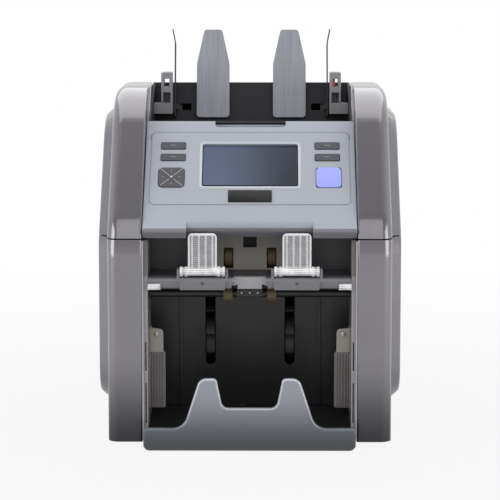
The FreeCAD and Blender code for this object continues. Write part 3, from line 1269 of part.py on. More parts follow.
def power_switch():
    """Rocker with a dished face, resting with its lower half pressed."""
    half = ROCKER_TALL / 2 - FIT_GAP
    face = BODY_REAR + ROCKER_PROUD
    side = [(ROCKER_Y - ROCKER_PROUD, INLET_Z - half / 2), (ROCKER_Y - ROCKER_PROUD, INLET_Z + half / 2),
            (face, INLET_Z + half, ROCKER_ROUND), (face - ROCKER_PROUD / 2, INLET_Z),
            (face, INLET_Z - half, ROCKER_ROUND)]
    rocker = prism_x(side, SWITCH_X - ROCKER_WIDTH / 2 + FIT_GAP, SWITCH_X + ROCKER_WIDTH / 2 - FIT_GAP)
    reach = ROCKER_WIDTH / 2 + INLET_WALL
    pivot = rod(ROCKER_Y, INLET_Z, ROCKER_PIN, SWITCH_X - reach, SWITCH_X + reach)
    made = rocker.fuse(pivot)
    made.rotate(V(0, ROCKER_Y, INLET_Z), V(1, 0, 0), ROCKER_TILT)
    return made


def panel_corners():
    """Side outline of the control panel, clockwise from the foot of its lip."""
    turn = math.radians(PANEL_TILT)
    foot_y, foot_z = slope_point(0, -PANEL_DEPTH)
    heel_y = foot_y + (UPPER_BOTTOM - foot_z) / math.tan(turn)
    return [(PANEL_EDGE_Y + PANEL_LIP_SETBACK, UPPER_BOTTOM),
            (PANEL_EDGE_Y, PANEL_EDGE_Z, PANEL_EDGE_RADIUS),
            (PANEL_TOP_Y, PANEL_TOP_Z, PANEL_EDGE_RADIUS), (PANEL_BACK_Y, PANEL_BACK_Z),
            (heel_y, UPPER_BOTTOM)]


def recess_corners(grow):
    """Side outline of the hand recess cut under the panel's edge."""
    wall_y, wall_z = slope_point(RECESS_RISE, 0)
    heel_y = PANEL_EDGE_Y + RECESS_UNDERCUT
    front = PANEL_EDGE_Y - RECESS_RISE
    return [(front, UPPER_BOTTOM - RECESS_RISE), (front, wall_z + grow), (wall_y + grow, wall_z + grow),
            (heel_y + grow, UPPER_BOTTOM), (heel_y + grow, UPPER_BOTTOM - RECESS_RISE)]


def slope_prism(corners, n0, n1):
    return on_slope(prism_z(corners, n0, n1))


def screen_rectangle(grow, radius):
    middle = (SCREEN_LOW + SCREEN_HIGH) / 2
    return rectangle(0, middle, SCREEN_HALF + grow, (SCREEN_HIGH - SCREEN_LOW) / 2 + grow, radius)


def key_table():
    """Name, centre x, centre w, width, height and corner radius of every key."""
    keys = []
    for i, (side, w) in enumerate(((-1, KEY_UPPER_W), (-1, KEY_LOWER_W), (1, KEY_UPPER_W),
                                   (1, KEY_LOWER_W))):
        keys.append(("function_key_%d" % (i + 1), side * KEY_X, w, KEY_WIDTH, KEY_TALL, KEY_RADIUS))
    keys.append(("nav_pad", -PAD_X, PAD_W, PAD_SIZE, PAD_SIZE, PAD_RADIUS))
    keys.append(("start_key", PAD_X, PAD_W, START_WIDTH, START_TALL, PAD_RADIUS / 2))
    return keys


def board_posts():
    places = []
    for x in (-BOARD_HALF + BOARD_POST_INSET, BOARD_HALF - BOARD_POST_INSET):
        for w in (BOARD_LOW + BOARD_POST_RADIUS, BOARD_HIGH - BOARD_POST_RADIUS):
            places.append((x, w))
    return places


def control_panel():
    """Hollow tilted panel with screen window, key openings, top notch and hand recess."""
    outer = prism_x(panel_corners(), -PANEL_HALF, PANEL_HALF)
    outer = outer.cut(prism_x(recess_corners(0), -RECESS_HALF, RECESS_HALF))
    wall_y, wall_z = slope_point(RECESS_RISE, 0)
    roll = [edge for edge in outer.Edges
            if all(abs(p.Point.y - wall_y) < 1e-4 and abs(p.Point.z - wall_z) < 1e-4 for p in edge.Vertexes)]
    outer = outer.makeFillet(RECESS_ROLL, roll)
    field = rectangle(0, (FIELD_LOW + FIELD_HIGH) / 2, PANEL_HALF - FIELD_INSET,
                      (FIELD_HIGH - FIELD_LOW) / 2, FIELD_RADIUS)
    outer = outer.fuse(slope_prism(field, -PANEL_WALL / 2, FIELD_RISE))
    inner_half = PANEL_HALF - PANEL_WALL
    hollow = prism_x(drawn_in(panel_corners(), PANEL_WALL), -inner_half, inner_half)
    back_low = slope_heel() + 2 * PANEL_WALL
    back_high = PANEL_LENGTH - PANEL_WALL
    open_back = slope_prism([(-inner_half, back_low), (inner_half, back_low), (inner_half, back_high),
                             (-inner_half, back_high)], -PANEL_DEPTH - OVER, -PANEL_DEPTH / 2)
    hollow = hollow.fuse(open_back)
    hollow = hollow.cut(prism_x(recess_corners(PANEL_WALL), -RECESS_HALF - PANEL_WALL,
                                RECESS_HALF + PANEL_WALL))
    notch_low = PANEL_LENGTH - NOTCH_DEPTH
    cuts = [hollow, slope_prism(screen_rectangle(0, SCREEN_RADIUS), -PANEL_WALL - OVER, OVER),
            slope_prism(screen_rectangle(BEZEL_RIM, SCREEN_RADIUS + BEZEL_RIM), -BEZEL_DEPTH, OVER),
            slope_prism([(-NOTCH_HALF, notch_low, NOTCH_RADIUS), (NOTCH_HALF, notch_low, NOTCH_RADIUS),
                         (NOTCH_HALF, PANEL_LENGTH + OVER), (-NOTCH_HALF, PANEL_LENGTH + OVER)],
                        -NOTCH_SINK, OVER)]
    for name, x, w, width, tall, radius in key_table():
        cuts.append(slope_prism(rectangle(x, w, width / 2, tall / 2, radius), -PANEL_WALL - OVER, OVER))
    post_length = BOARD_BEHIND - PANEL_WALL / 2
    posts = [on_slope(peg(x, w, -BOARD_BEHIND, BOARD_POST_RADIUS, post_length, V(0, 0, 1)))
             for x, w in board_posts()]
    return fused([outer.cut(cuts)] + posts)


def slope_heel():
    """Place along the slope where the panel's open back begins."""
    turn = math.radians(PANEL_TILT)
    foot_z = slope_point(0, -PANEL_DEPTH)[1]
    return (UPPER_BOTTOM - foot_z) / math.sin(turn)


def display_window():
    """Clear window seated against the back of the panel's opening."""
    return slope_prism(screen_rectangle(WINDOW_OVERLAP, SCREEN_RADIUS), -PANEL_WALL - WINDOW_THICK,
                       -PANEL_WALL)


def panel_key(x, w, width, tall, radius):
    """Key cap with rounded top edges and a flange that holds it behind the panel."""
    seat = -PANEL_WALL - KEY_BEHIND
    foot = seat - KEY_FLANGE_THICK
    cap = prism_z(rectangle(x, w, width / 2 - KEY_GAP, tall / 2 - KEY_GAP, radius - KEY_GAP), foot,
                  KEY_PROUD)
    rim = [edge for edge in cap.Edges if all(abs(p.Point.z - KEY_PROUD) < 1e-6 for p in edge.Vertexes)]
    cap = cap.makeFillet(KEY_ROUND, rim)
    flange = prism_z(rectangle(x, w, width / 2 + KEY_FLANGE, tall / 2 + KEY_FLANGE, radius), foot, seat)
    return cap.fuse(flange)


def nav_pad(x, w, width, tall, radius):
    """Four-way pad: the key form with a crossed groove and a raised centre dot."""
    made = panel_key(x, w, width, tall, radius)
    reach = width / 2 - PAD_RADIUS
    grooves = []
    for turn in (45, -45):
        bar = block(-reach, reach, -PAD_CROSS_WIDTH / 2, PAD_CROSS_WIDTH / 2, KEY_PROUD - PAD_CROSS_DEPTH,
                    KEY_PROUD + OVER)
        bar.rotate(V(0, 0, 0), V(0, 0, 1), turn)
        bar.translate(V(x, w, 0))
        grooves.append(bar)
    dot = peg(x, w, KEY_PROUD - PAD_CROSS_DEPTH * 2, PAD_DISC_RADIUS, PAD_CROSS_DEPTH * 3, V(0, 0, 1))
    return made.cut(grooves).fuse(dot)


def panel_board():
    """Key board behind the panel with a switch under every key."""
    top = -BOARD_BEHIND
    made = [prism_z([(-BOARD_HALF, BOARD_LOW), (BOARD_HALF, BOARD_LOW), (BOARD_HALF, BOARD_HIGH),
                     (-BOARD_HALF, BOARD_HIGH)], top - BOARD_THICK, top)]
    switch_top = -PANEL_WALL - KEY_BEHIND - KEY_FLANGE_THICK - KEY_TRAVEL - SWITCH_CLEAR
    for name, x, w, width, tall, radius in key_table():
        half = SWITCH_SIZE / 2
        made.append(block(x - half, x + half, w - half, w + half, top, switch_top))
    return on_slope(fused(made))


def hopper_path():
    """Inside line of the hopper: down along the panel's end, over the floor and up the leaning rear wall."""
    back_z = HOPPER_FLOOR_Z + HOPPER_BACK_RISE
    top_y = HOPPER_BACK_Y + (BODY_TOP - back_z) * math.tan(math.radians(HOPPER_LEAN))
    return [(HOPPER_MOUTH_Y, HOPPER_MOUTH_Z), (HOPPER_FLOOR_Y, HOPPER_FLOOR_Z, HOPPER_BEND),
            (HOPPER_BACK_Y, back_z, HOPPER_BEND), (top_y, BODY_TOP)]


def on_rest(shape):
    """Carry a shape drawn upright against y = 0 to the leaning rear wall of the hopper."""
    placed = shape.copy()
    placed.rotate(V(0, 0, 0), V(1, 0, 0), -HOPPER_LEAN)
    placed.translate(V(0, HOPPER_BACK_Y, HOPPER_FLOOR_Z + HOPPER_BACK_RISE))
    return placed


def rest_height(z):
    """Height along the leaning wall of a level z."""
    return (z - HOPPER_FLOOR_Z - HOPPER_BACK_RISE) / math.cos(math.radians(HOPPER_LEAN))


def hopper_bed():
    """Hopper trough with end walls, slotted for the pickup rollers and the guide stems."""
    path = hopper_path()
    trough = prism_x(sheet_outline(path, -MOULDED_WALL), -FRAME_IN, FRAME_IN)
    end = prism_x([(y, z) for y, z in [corner[:2] for corner in path]], FRAME_IN - HOPPER_SIDE, FRAME_IN)
    half = PICKUP_ROLLER_WIDTH / 2 + SLOT_GAP
    cuts = [rod(PICKUP_Y, PICKUP_Z, PICKUP_ROLLER_RADIUS + SLOT_GAP, x - half, x + half)
            for x in (-ROLLER_NEAR_X, ROLLER_NEAR_X)]
    low = rest_height(GUIDE_STEM_Z)
    for side in (-1, 1):
        inner = side * (GUIDE_X - GUIDE_TRAVEL - GUIDE_STEM / 2 - FIT_GAP)
        outer = side * (GUIDE_X + GUIDE_STEM / 2 + FIT_GAP)
        cuts.append(on_rest(block(min(inner, outer), max(inner, outer), -MOULDED_WALL, 2 * MOULDED_WALL,
                                  low - FIT_GAP, low + GUIDE_STEM + FIT_GAP)))
    return fused([trough] + both_sides(end)).cut(cuts)


def hopper_finger(x):
    """Tapered rest finger on the hopper's rear wall with a stiffening rib behind its free part."""
    top = rest_height(FINGER_TOP_Z - FINGER_THICK * math.sin(math.radians(HOPPER_LEAN)))
    shoulder = rest_height(FINGER_SHOULDER_Z)
    foot = rest_height(FINGER_FOOT_Z)
    plate = prism_y([(x - FINGER_BASE_HALF, foot, FINGER_RADIUS), (x + FINGER_BASE_HALF, foot, FINGER_RADIUS),
                     (x + FINGER_BASE_HALF, shoulder, FINGER_SHOULDER_RADIUS),
                     (x + FINGER_TOP_HALF, top, FINGER_RADIUS), (x - FINGER_TOP_HALF, top, FINGER_RADIUS),
                     (x - FINGER_BASE_HALF, shoulder, FINGER_SHOULDER_RADIUS)], -FINGER_THICK, 0)
    wall_top = rest_height(BODY_TOP) + MOULDED_WALL
    rib_top = top - 2 * FINGER_RADIUS
    ease = rib_top - FINGER_RIB_EASE * (rib_top - wall_top)
    rib = prism_x([(0, wall_top), (0, rib_top), (FINGER_RIB, ease), (FINGER_RIB, wall_top)],
                  x - FINGER_RIB / 2, x + FINGER_RIB / 2)
    return on_rest(plate.fuse(rib))


def hopper_guide():
    """Right side guide: a thin flared blade on a stem that slides in the rear wall's slot."""
    foot = rest_height(FINGER_FOOT_Z)
    path = [(GUIDE_X, foot), (GUIDE_X, rest_height(GUIDE_FLARE_Z), GUIDE_FLARE_RADIUS),
            (GUIDE_X + GUIDE_FLARE, rest_height(GUIDE_TOP_Z))]
    blade = prism_y(sheet_outline(path, -GUIDE_THICK), -GUIDE_DEPTH, -FIT_GAP)
    low = rest_height(GUIDE_STEM_Z)
    stem = block(GUIDE_X - GUIDE_STEM / 2, GUIDE_X + GUIDE_STEM / 2, -FIT_GAP - GUIDE_SHOE,
                 MOULDED_WALL + FIT_GAP, low, low + GUIDE_STEM)
    shoe = block(GUIDE_X - GUIDE_STEM, GUIDE_X + GUIDE_STEM, MOULDED_WALL + FIT_GAP,
                 MOULDED_WALL + FIT_GAP + GUIDE_SHOE, low - GUIDE_SHOE, low + GUIDE_STEM + GUIDE_SHOE)
    return on_rest(fused([blade, stem, shoe]))


def hopper_block():
    """Right sensor block beside the hopper mouth, with a through window and a dark eye."""
    middle = (BLOCK_INNER + BLOCK_OUTER) / 2
    tower = prism_y([(BLOCK_INNER, BLOCK_FOOT_Z), (BLOCK_INNER, BLOCK_TOP_Z, BLOCK_INNER_RADIUS),
                     (BLOCK_OUTER, BLOCK_TOP_Z, BLOCK_OUTER_RADIUS), (BLOCK_OUTER, BLOCK_FOOT_Z)],
                    BLOCK_FRONT_Y, BLOCK_REAR_Y)
    arm = block(BLOCK_INNER, FRAME_IN - HOPPER_SIDE, BLOCK_FRONT_Y, BLOCK_REAR_Y, BLOCK_FOOT_Z,
                BLOCK_FOOT_Z + BLOCK_HOLE_TALL)
    window_z = BLOCK_TOP_Z - BLOCK_HOLE_TALL
    window = block(middle - BLOCK_WINDOW_WIDTH / 2, middle + BLOCK_WINDOW_WIDTH / 2, BLOCK_FRONT_Y - OVER,
                   BLOCK_REAR_Y + OVER, window_z - BLOCK_WINDOW_TALL / 2, window_z + BLOCK_WINDOW_TALL / 2)
    eye_z = window_z - BLOCK_HOLE_BELOW
    eye = block(middle - BLOCK_HOLE_WIDTH / 2, middle + BLOCK_HOLE_WIDTH / 2, BLOCK_FRONT_Y - OVER,
                BLOCK_FRONT_Y + BLOCK_HOLE_DEPTH, eye_z - BLOCK_HOLE_TALL / 2, eye_z + BLOCK_HOLE_TALL / 2)
    return fused([tower, arm]).cut([window, eye])


def upper_rear_cover():
    """Top deck behind the hopper, rolling over into the upper rear wall, with the moving hinge leaves."""
    start_y = hopper_path()[-1][0] + MOULDED_WALL / math.cos(math.radians(HOPPER_LEAN)) + FIT_GAP
    path = [(start_y, BODY_TOP), (BODY_REAR, BODY_TOP, COVER_BACK_RADIUS),
            (BODY_REAR, UPPER_BOTTOM + FRAME_SETBACK)]
    shell = prism_x(sheet_outline(path, -MOULDED_WALL), -FRAME_IN, FRAME_IN)
    return fused([shell] + hinge_knuckles(True))


def shaft_with_gear(y, z, teeth, phase):
    return [shaft(y, z), drive_gear(y, z, teeth, phase)]


def main():
    os.makedirs("parts", exist_ok=True)
    lower_cover, upper_cover = side_covers()
    save("base_pan", base_pan())
    save("feet", feet())
    save("lower_frames", both_sides(lower_frame()))
    save("tie_bars", tie_bars())
    save("lower_cover_right", lower_cover)
    save("lower_cover_left", mirrored(lower_cover))
    save("rear_cover", rear_cover())
    save("stacker_front", stacker_front())
    save("stacker_bed", stacker_bed())
    save("stacker_back", stacker_back())
    save("pocket_liner_right", pocket_liner())
    save("pocket_liner_left", mirrored(pocket_liner()))
    save("stack_guards", both_sides(stack_guard()))
    save("reject_bar", reject_bar())
    save("sensor_lenses", sensor_lenses())
    save("reject_tray", reject_tray())
    save("transport_deck", transport_deck())
    save("image_sensor", image_sensor())
    save("main_motor", main_motor())
    save("drive_belt", drive_belt())
    save("power_supply", power_supply())
    save("main_board", main_board())
    save("rear_sockets", rear_sockets())
    save("shaft_bushes", shaft_bushes())
    save("hinge_pins", hinge_pins())
    save("transport_shaft", [rod(TRANSPORT_Y, TRANSPORT_Z, SHAFT_RADIUS, SHAFT_LEFT, PULLEY_END),
                             drive_gear(TRANSPORT_Y, TRANSPORT_Z, TRANSPORT_TEETH, TRANSPORT_PHASE),
                             pulley(TRANSPORT_Y, TRANSPORT_Z, TRANSPORT_PULLEY, SHAFT_RADIUS)]
         + roller_pair(TRANSPORT_Y, TRANSPORT_Z, TRANSPORT_ROLLER_RADIUS, TRANSPORT_ROLLER_WIDTH,
                       (ROLLER_NEAR_X, ROLLER_FAR_X)))
    save("stacker_shaft", shaft_with_gear(STACKER_Y, STACKER_Z, STACKER_TEETH, STACKER_PHASE))
    save("stacker_wheels", [finned_wheel(-WHEEL_X), finned_wheel(WHEEL_X)])
    save("exit_shaft", shaft_with_gear(EXIT_Y, EXIT_Z, EXIT_TEETH, EXIT_PHASE))
    save("exit_rollers", roller_pair(EXIT_Y, EXIT_Z, EXIT_ROLLER_RADIUS, EXIT_ROLLER_WIDTH,
                                     (ROLLER_NEAR_X,)))
    save("reject_shaft", shaft_with_gear(REJECT_Y, REJECT_Z, REJECT_TEETH, REJECT_PHASE))
    save("reject_rollers", roller_pair(REJECT_Y, REJECT_Z, REJECT_ROLLER_RADIUS, REJECT_ROLLER_WIDTH,
                                       (ROLLER_NEAR_X,)))
    save("motor_pulley", motor_pulley())
    save("diverter_gate", diverter_gate())
    save("stopper_left", stopper(-STOPPER_X))
    save("stopper_right", stopper(STOPPER_X))
    save("power_switch", power_switch())
    save("upper_cover_right", upper_cover)
    save("upper_cover_left", mirrored(upper_cover))
    save("upper_frames", both_sides(upper_frame()))
    save("upper_rear_cover", upper_rear_cover())
    save("control_panel", control_panel())
    save("display_window", display_window())
    save("panel_board", panel_board())
    save("hopper_bed", hopper_bed())
    save("hopper_fingers", [hopper_finger(-FINGER_X), hopper_finger(FINGER_X)])
    save("hopper_blocks", both_sides(hopper_block()))
    save("feed_motor", feed_motor())
    save("feed_pinion", feed_pinion())
    save("feed_shaft", shaft_with_gear(FEED_Y, FEED_Z, FEED_TEETH, FEED_PHASE)
         + roller_pair(FEED_Y, FEED_Z, FEED_ROLLER_RADIUS, FEED_ROLLER_WIDTH, (ROLLER_NEAR_X,)))
    save("pickup_shaft", shaft_with_gear(PICKUP_Y, PICKUP_Z, PICKUP_TEETH, PICKUP_PHASE))
    save("pickup_rollers", roller_pair(PICKUP_Y, PICKUP_Z, PICKUP_ROLLER_RADIUS, PICKUP_ROLLER_WIDTH,
                                       (ROLLER_NEAR_X,)))
    save("hopper_guide_right", hopper_guide())
    save("hopper_guide_left", mirrored(hopper_guide()))
    for name, x, w, width, tall, radius in key_table():
        shape = nav_pad if name == "nav_pad" else panel_key
        save(name, on_slope(shape(x, w, width, tall, radius)))


main()
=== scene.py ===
import bmesh
import bpy
import json
import math
from mathutils import Matrix, Vector


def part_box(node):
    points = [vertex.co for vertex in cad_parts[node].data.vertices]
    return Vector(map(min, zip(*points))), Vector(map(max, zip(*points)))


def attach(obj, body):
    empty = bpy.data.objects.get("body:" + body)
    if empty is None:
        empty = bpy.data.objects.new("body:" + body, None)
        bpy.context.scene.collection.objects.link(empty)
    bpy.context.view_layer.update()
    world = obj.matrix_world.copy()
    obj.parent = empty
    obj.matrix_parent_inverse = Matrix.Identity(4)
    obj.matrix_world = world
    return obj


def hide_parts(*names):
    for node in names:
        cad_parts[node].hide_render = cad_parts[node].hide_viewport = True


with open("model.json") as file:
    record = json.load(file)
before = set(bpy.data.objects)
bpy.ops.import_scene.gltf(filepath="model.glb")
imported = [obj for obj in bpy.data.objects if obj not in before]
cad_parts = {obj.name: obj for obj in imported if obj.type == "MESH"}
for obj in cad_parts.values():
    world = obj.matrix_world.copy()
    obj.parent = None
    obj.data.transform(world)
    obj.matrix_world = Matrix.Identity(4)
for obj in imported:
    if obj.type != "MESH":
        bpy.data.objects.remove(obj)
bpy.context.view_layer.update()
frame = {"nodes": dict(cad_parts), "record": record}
scene = bpy.context.scene

# All lengths are in metres. On the control panel, w runs up its slope and n stands out of it.
PANEL_EDGE = (0.0, -0.128, 0.205)
PANEL_TILT = math.radians(43.2)
ON_SLOPE = Matrix.Translation(PANEL_EDGE) @ Matrix.Rotation(PANEL_TILT, 4, "X")
PANEL_LIP_TOP = 0.2078

# The panel's raised field, and the darker strip laid round its head as painted shade
FIELD_RISE = 0.0005
FIELD_HALF, FIELD_LOW, FIELD_HIGH, FIELD_CORNER = 0.0944, 0.033, 0.123, 0.005
SHADE_LINE_WIDTH, SHADE_LINE_THICK, SHADE_LINE_DROP = 0.0011, 0.0003, 0.0085

# The screen: its opening, the bezel's steps from rim to glass, and the lit part of the glass
SCREEN_HALF, SCREEN_LOW, SCREEN_HIGH = 0.0456, 0.0555, 0.109
BEZEL_RIM, BEZEL_DEPTH, BEZEL_CREST = 0.0026, 0.0008, 0.0002
BEZEL_FALL, BEZEL_CORNER = 0.0006, 0.0046
BEZEL_WALL = BEZEL_CREST + FIELD_RISE + BEZEL_DEPTH - BEZEL_FALL
BEZEL_STEPS = ((0.15, BEZEL_CREST), (0.1, 0), (0.7, -BEZEL_FALL), (0.05, -BEZEL_WALL))
LIT_HALF, LIT_LOW, LIT_HIGH = 0.0447, 0.2438, 0.2788
GLOW_ACROSS, GLOW_UP = (-0.034, 0.046), (0.24, 0.29)

# The bare plate below the screen
NAME_PLATE_HALF, NAME_PLATE_LOW, NAME_PLATE_HIGH = 0.0205, 0.0355, 0.05
NAME_PLATE_THICK, NAME_PLATE_CORNER, NAME_PLATE_EASE = 0.0008, 0.0006, 0.0002

# Keys, with their dashes
KEY_TOP = 0.0014
KEY_X, KEY_UPPER_W, KEY_LOWER_W = 0.0735, 0.106, 0.0913
DASH_HALF_X, DASH_HALF_W, DASH_THICK, DASH_CORNER, DASH_EASE = 0.003, 0.0004, 8e-5, 0.0002, 2e-5

# The four-way pad and the start key, which stand at the same height on either side
PAD_X, PAD_W = 0.0745, 0.066
CROSS_ARM, CROSS_WIDTH, CROSS_THICK = 0.0124, 0.0005, 0.0003
CROSS_REACH, CROSS_SINK = 0.0088, 0.0001
DOT_FOOT, DOT_TOP, DOT_THICK, DOT_RISE = 0.0013, 0.0011, 0.0003, 0.00055
ARROW_RADIUS, ARROW_THICK, ARROW_REACH = 0.0012, 8e-5, 0.0078
START_HALF_X, START_HALF_W, START_CORNER, START_ROUND = 0.0119, 0.0124, 0.0042, 0.0005
START_FLANGE, START_FLANGE_THICK, START_FOOT = 0.0015, 0.0009, -0.0037
START_FLANGE_EASE = START_FLANGE_THICK / 9

# Screw heads: shares of a head's radius, then places
SLOT_HALF, SLOT_REACH, SLOT_DEPTH = 0.11, 0.45, 0.3
HEAD_RISE, HEAD_FALL = 0.6, 0.3
GUARD_SCREW_X, GUARD_SCREW_Y, GUARD_SCREW_Z, GUARD_SCREW_RADIUS = 0.0885, -0.101, 0.104, 0.0021
REAR_SCREW_X, REAR_SCREW_Y, REAR_SCREW_RADIUS = 0.09, 0.14, 0.0028
REAR_SCREW_LOW, REAR_SCREW_HIGH, UPPER_SCREW_Z = 0.018, 0.184, 0.214

# The sensor head under the bar, and the lamp lens in a hopper block
EYE_HALF_X, EYE_HALF_Y, EYE_TALL, EYE_CORNER, EYE_EASE = 0.012, 0.0045, 0.0072, 0.001, 0.0008
EYE_PLACE = (0, -0.1165, 0.1432)
EYE_DOT_PITCH, EYE_DOT_Y, EYE_DOT_Z, EYE_DOT_RADIUS = 0.0075, -0.121, 0.1466, 0.0008
LAMP_HALF_X, LAMP_HALF_Y, LAMP_TALL, LAMP_CORNER, LAMP_EASE = 0.0012, 0.002, 0.0083, 0.0006, 0.0003
LAMP_X, LAMP_BACK, LAMP_DROP = 0.0826, 0.004, 0.01455

# Where a finish changes on a part; a pair is where the change begins and ends
STOPPER_X, STOPPER_RIB_Y, STOPPER_REACH, BEAD_PITCH = 0.044, -0.1252, 0.0145, 0.0018
STOPPER_SIDE_RIM, STOPPER_TOP_RIM, BARREL_TOP = (0.0116, 0.0122), (0.2008, 0.2014), (0.1705, 0.1735)
# Height over which the covers' foot is painted darker, as painted shade
COVER_FOOT_SHADE = (0.01, 0.1)
TRAY_MIDDLE_HALF, TRAY_MIDDLE_Y = 0.032, -0.0835
BLADE_FRONT, BLADE_REAR, INLET_X = 0.1265, 0.1332, -0.05
LINER_EDGE_Y = -0.126
GUARD_SKIRT_TOP = 0.0868
BAR_MIDDLE_HALF = 0.0146
# Heights on the horned plate: where its foot is painted darker as painted shade, and where its rim
# and horns get a painted highlight
PLATE_FOOT_SHADE, PLATE_RIM, PLATE_HORNS = (0.006, 0.062), (0.02, 0.026), (0.026, 0.06)
# How far the rim's normal turns from facing forward where the painted highlight shows
RIM_TURN_IN, RIM_TURN_OUT = (0.8, 0.97), (0.3, 0.6)
TRANSPORT_AXIS, FEED_AXIS = (0.01353, 0.16345), (0.01019, 0.2255)
SHAFT_RADIUS, SHAFT_SKIN = 0.004, 0.0001
GEAR_X, TREAD_HALF = -0.1, 0.09

# Blotches of a finish: scale, detail and roughness of the noise, and the part of it that shows
HANDLED_SHEEN = (55, 4, 0.65, 0.42, 0.7)
COVER_SHEEN = (22, 3, 0.5, 0.45, 0.75)
PLATING_BLOOM = (24, 5, 0.6, 0.4, 0.7)
TYRE_DUST = (80, 4, 0.6, 0.5, 0.75)
ACRYLIC_SCUFFS = (300, 4, 0.7, 0.5, 0.8)
ACRYLIC_CLOUD = (120, 3, 0.5, 0.3, 0.7)
GLASS_SMEAR = (60, 4, 0.6, 0.45, 0.8)

# Stretch of the noise: along X on drawn metal, up and down a finger, and in a moulding's flow
DRAWN_LINES, FINGER_LINES, FLOW_MARKS = (1, 40, 40), (16, 0.3, 0.3), (1, 1, 0.4)
WHITE = (1.0, 1.0, 1.0, 1.0)

# How finely edges and discs are rounded, and below which angle a shape is shaded smooth
CORNER_STEPS, EASE_STEPS, ROUND_STEPS, OUTLINE_STEPS, DISC_SIDES = 5, 2, 3, 6, 24
SMOOTH_BELOW = math.radians(35)

# Studio: each softbox's place, width, height and watts, the floor, and the room that gloss shows
SOFTBOXES = {
    "top_softbox": ((0.0, 0.5, 1.15), 1.6, 1.5, 8.6),
    "front_softbox": ((0.0, -1.9, 1.9), 2.2, 1.7, 13),
    "left_softbox": ((-1.55, -0.8, 0.6), 1.0, 1.3, 13),
    "right_softbox": ((1.6, -0.8, 0.6), 1.0, 1.3, 12),
}
SOFTBOX_AIM = (0, 0, 0.19)
FLOOR_HALF, FLOOR_GREY = 6, (0.3, 0.3, 0.3, 1)
FLOOR_WHITE_NEAR, FLOOR_FADE = 0.9, (0.25, 1.1)
ROOM_LIGHT, ROOM_FRONT, ROOM_CEILING, ROOM_REAR = 0.5, 0.66, 0.2, 0.8
ROOM_TURN, ROOM_CLIMB = (-0.35, 0.25), (0.12, 0.5)

# The photograph's camera
CAMERA_LENS, CAMERA_SENSOR = 153.4, 36
CAMERA_RISE, CAMERA_TURN = math.radians(8.0), math.radians(0.47)
CAMERA_AIM, CAMERA_DISTANCE = (-0.0007, 0, 0.1701), 2.107


def tone(red, green, blue):
    """Screen colour, 0 to 255, as the linear colour that a shader takes."""
    levels = []
    for level in (red, green, blue):
        share = level / 255
        levels.append(share / 12.92 if share <= 0.04045 else ((share + 0.055) / 1.055) ** 2.4)
    return (*levels, 1.0)


def scaled(colour, factor):
    return (*[min(1.0, channel * factor) for channel in colour[:3]], 1.0)


class Signal:
    """A shader socket that takes part in Python arithmetic."""

    def __init__(self, graph, socket):
        self.graph = graph
        self.socket = socket

    def math(self, operation, first, second=0.0):
        return self.graph.node("ShaderNodeMath", {"operation": operation}, {0: first, 1: second})

    def __add__(self, other):
        return self.math("ADD", self, other)

    def __sub__(self, other):
        return self.math("SUBTRACT", self, other)

    def __rsub__(self, other):
        return self.math("SUBTRACT", other, self)

    def __mul__(self, other):
        return self.math("MULTIPLY", self, other)

    def __pow__(self, other):
        return self.math("POWER", self, other)

    def __lt__(self, other):
        return self.math("LESS_THAN", self, other)

    def __gt__(self, other):
        return self.math("GREATER_THAN", self, other)

    def __abs__(self):
        return self.math("ABSOLUTE", self)

    def most(self, other):
        return self.math("MAXIMUM", self, other)

    def least(self, other):
        return self.math("MINIMUM", self, other)

    def sine(self):
        return self.math("SINE", self)

    __radd__ = __add__
    __rmul__ = __mul__


class Graph:
    """A node tree that is written as expressions."""

    def __init__(self, tree):
        self.tree = tree
        tree.nodes.clear()

    def node(self, kind, settings, inputs, output=0):
        """Any node: its settings first, then its sockets' values or links; gives one output."""
        made = self.tree.nodes.new(kind)
        for key, value in settings.items():
            setattr(made, key, value)
        for key, value in inputs.items():
            self.feed(made.inputs[key], value)
        return Signal(self, made.outputs[output]) if made.outputs else made

    def feed(self, socket, value):
        if isinstance(value, Signal):
            self.tree.links.new(value.socket, socket)
        else:
            socket.default_value = value

    def spread(self, value, low, high):
        """Stretch the part of a signal between low and high over 0 to 1."""
        return self.node("ShaderNodeMapRange", {"interpolation_type": "SMOOTHSTEP"},
                         {"Value": value, "From Min": low, "From Max": high})

    def blend(self, factor, first, second):
        colours = {0: factor, 6: first, 7: second}
        return self.node("ShaderNodeMix", {"data_type": "RGBA"}, colours, 2)

    def component(self, vector, name):
        return self.node("ShaderNodeSeparateXYZ", {}, {0: vector}, name)


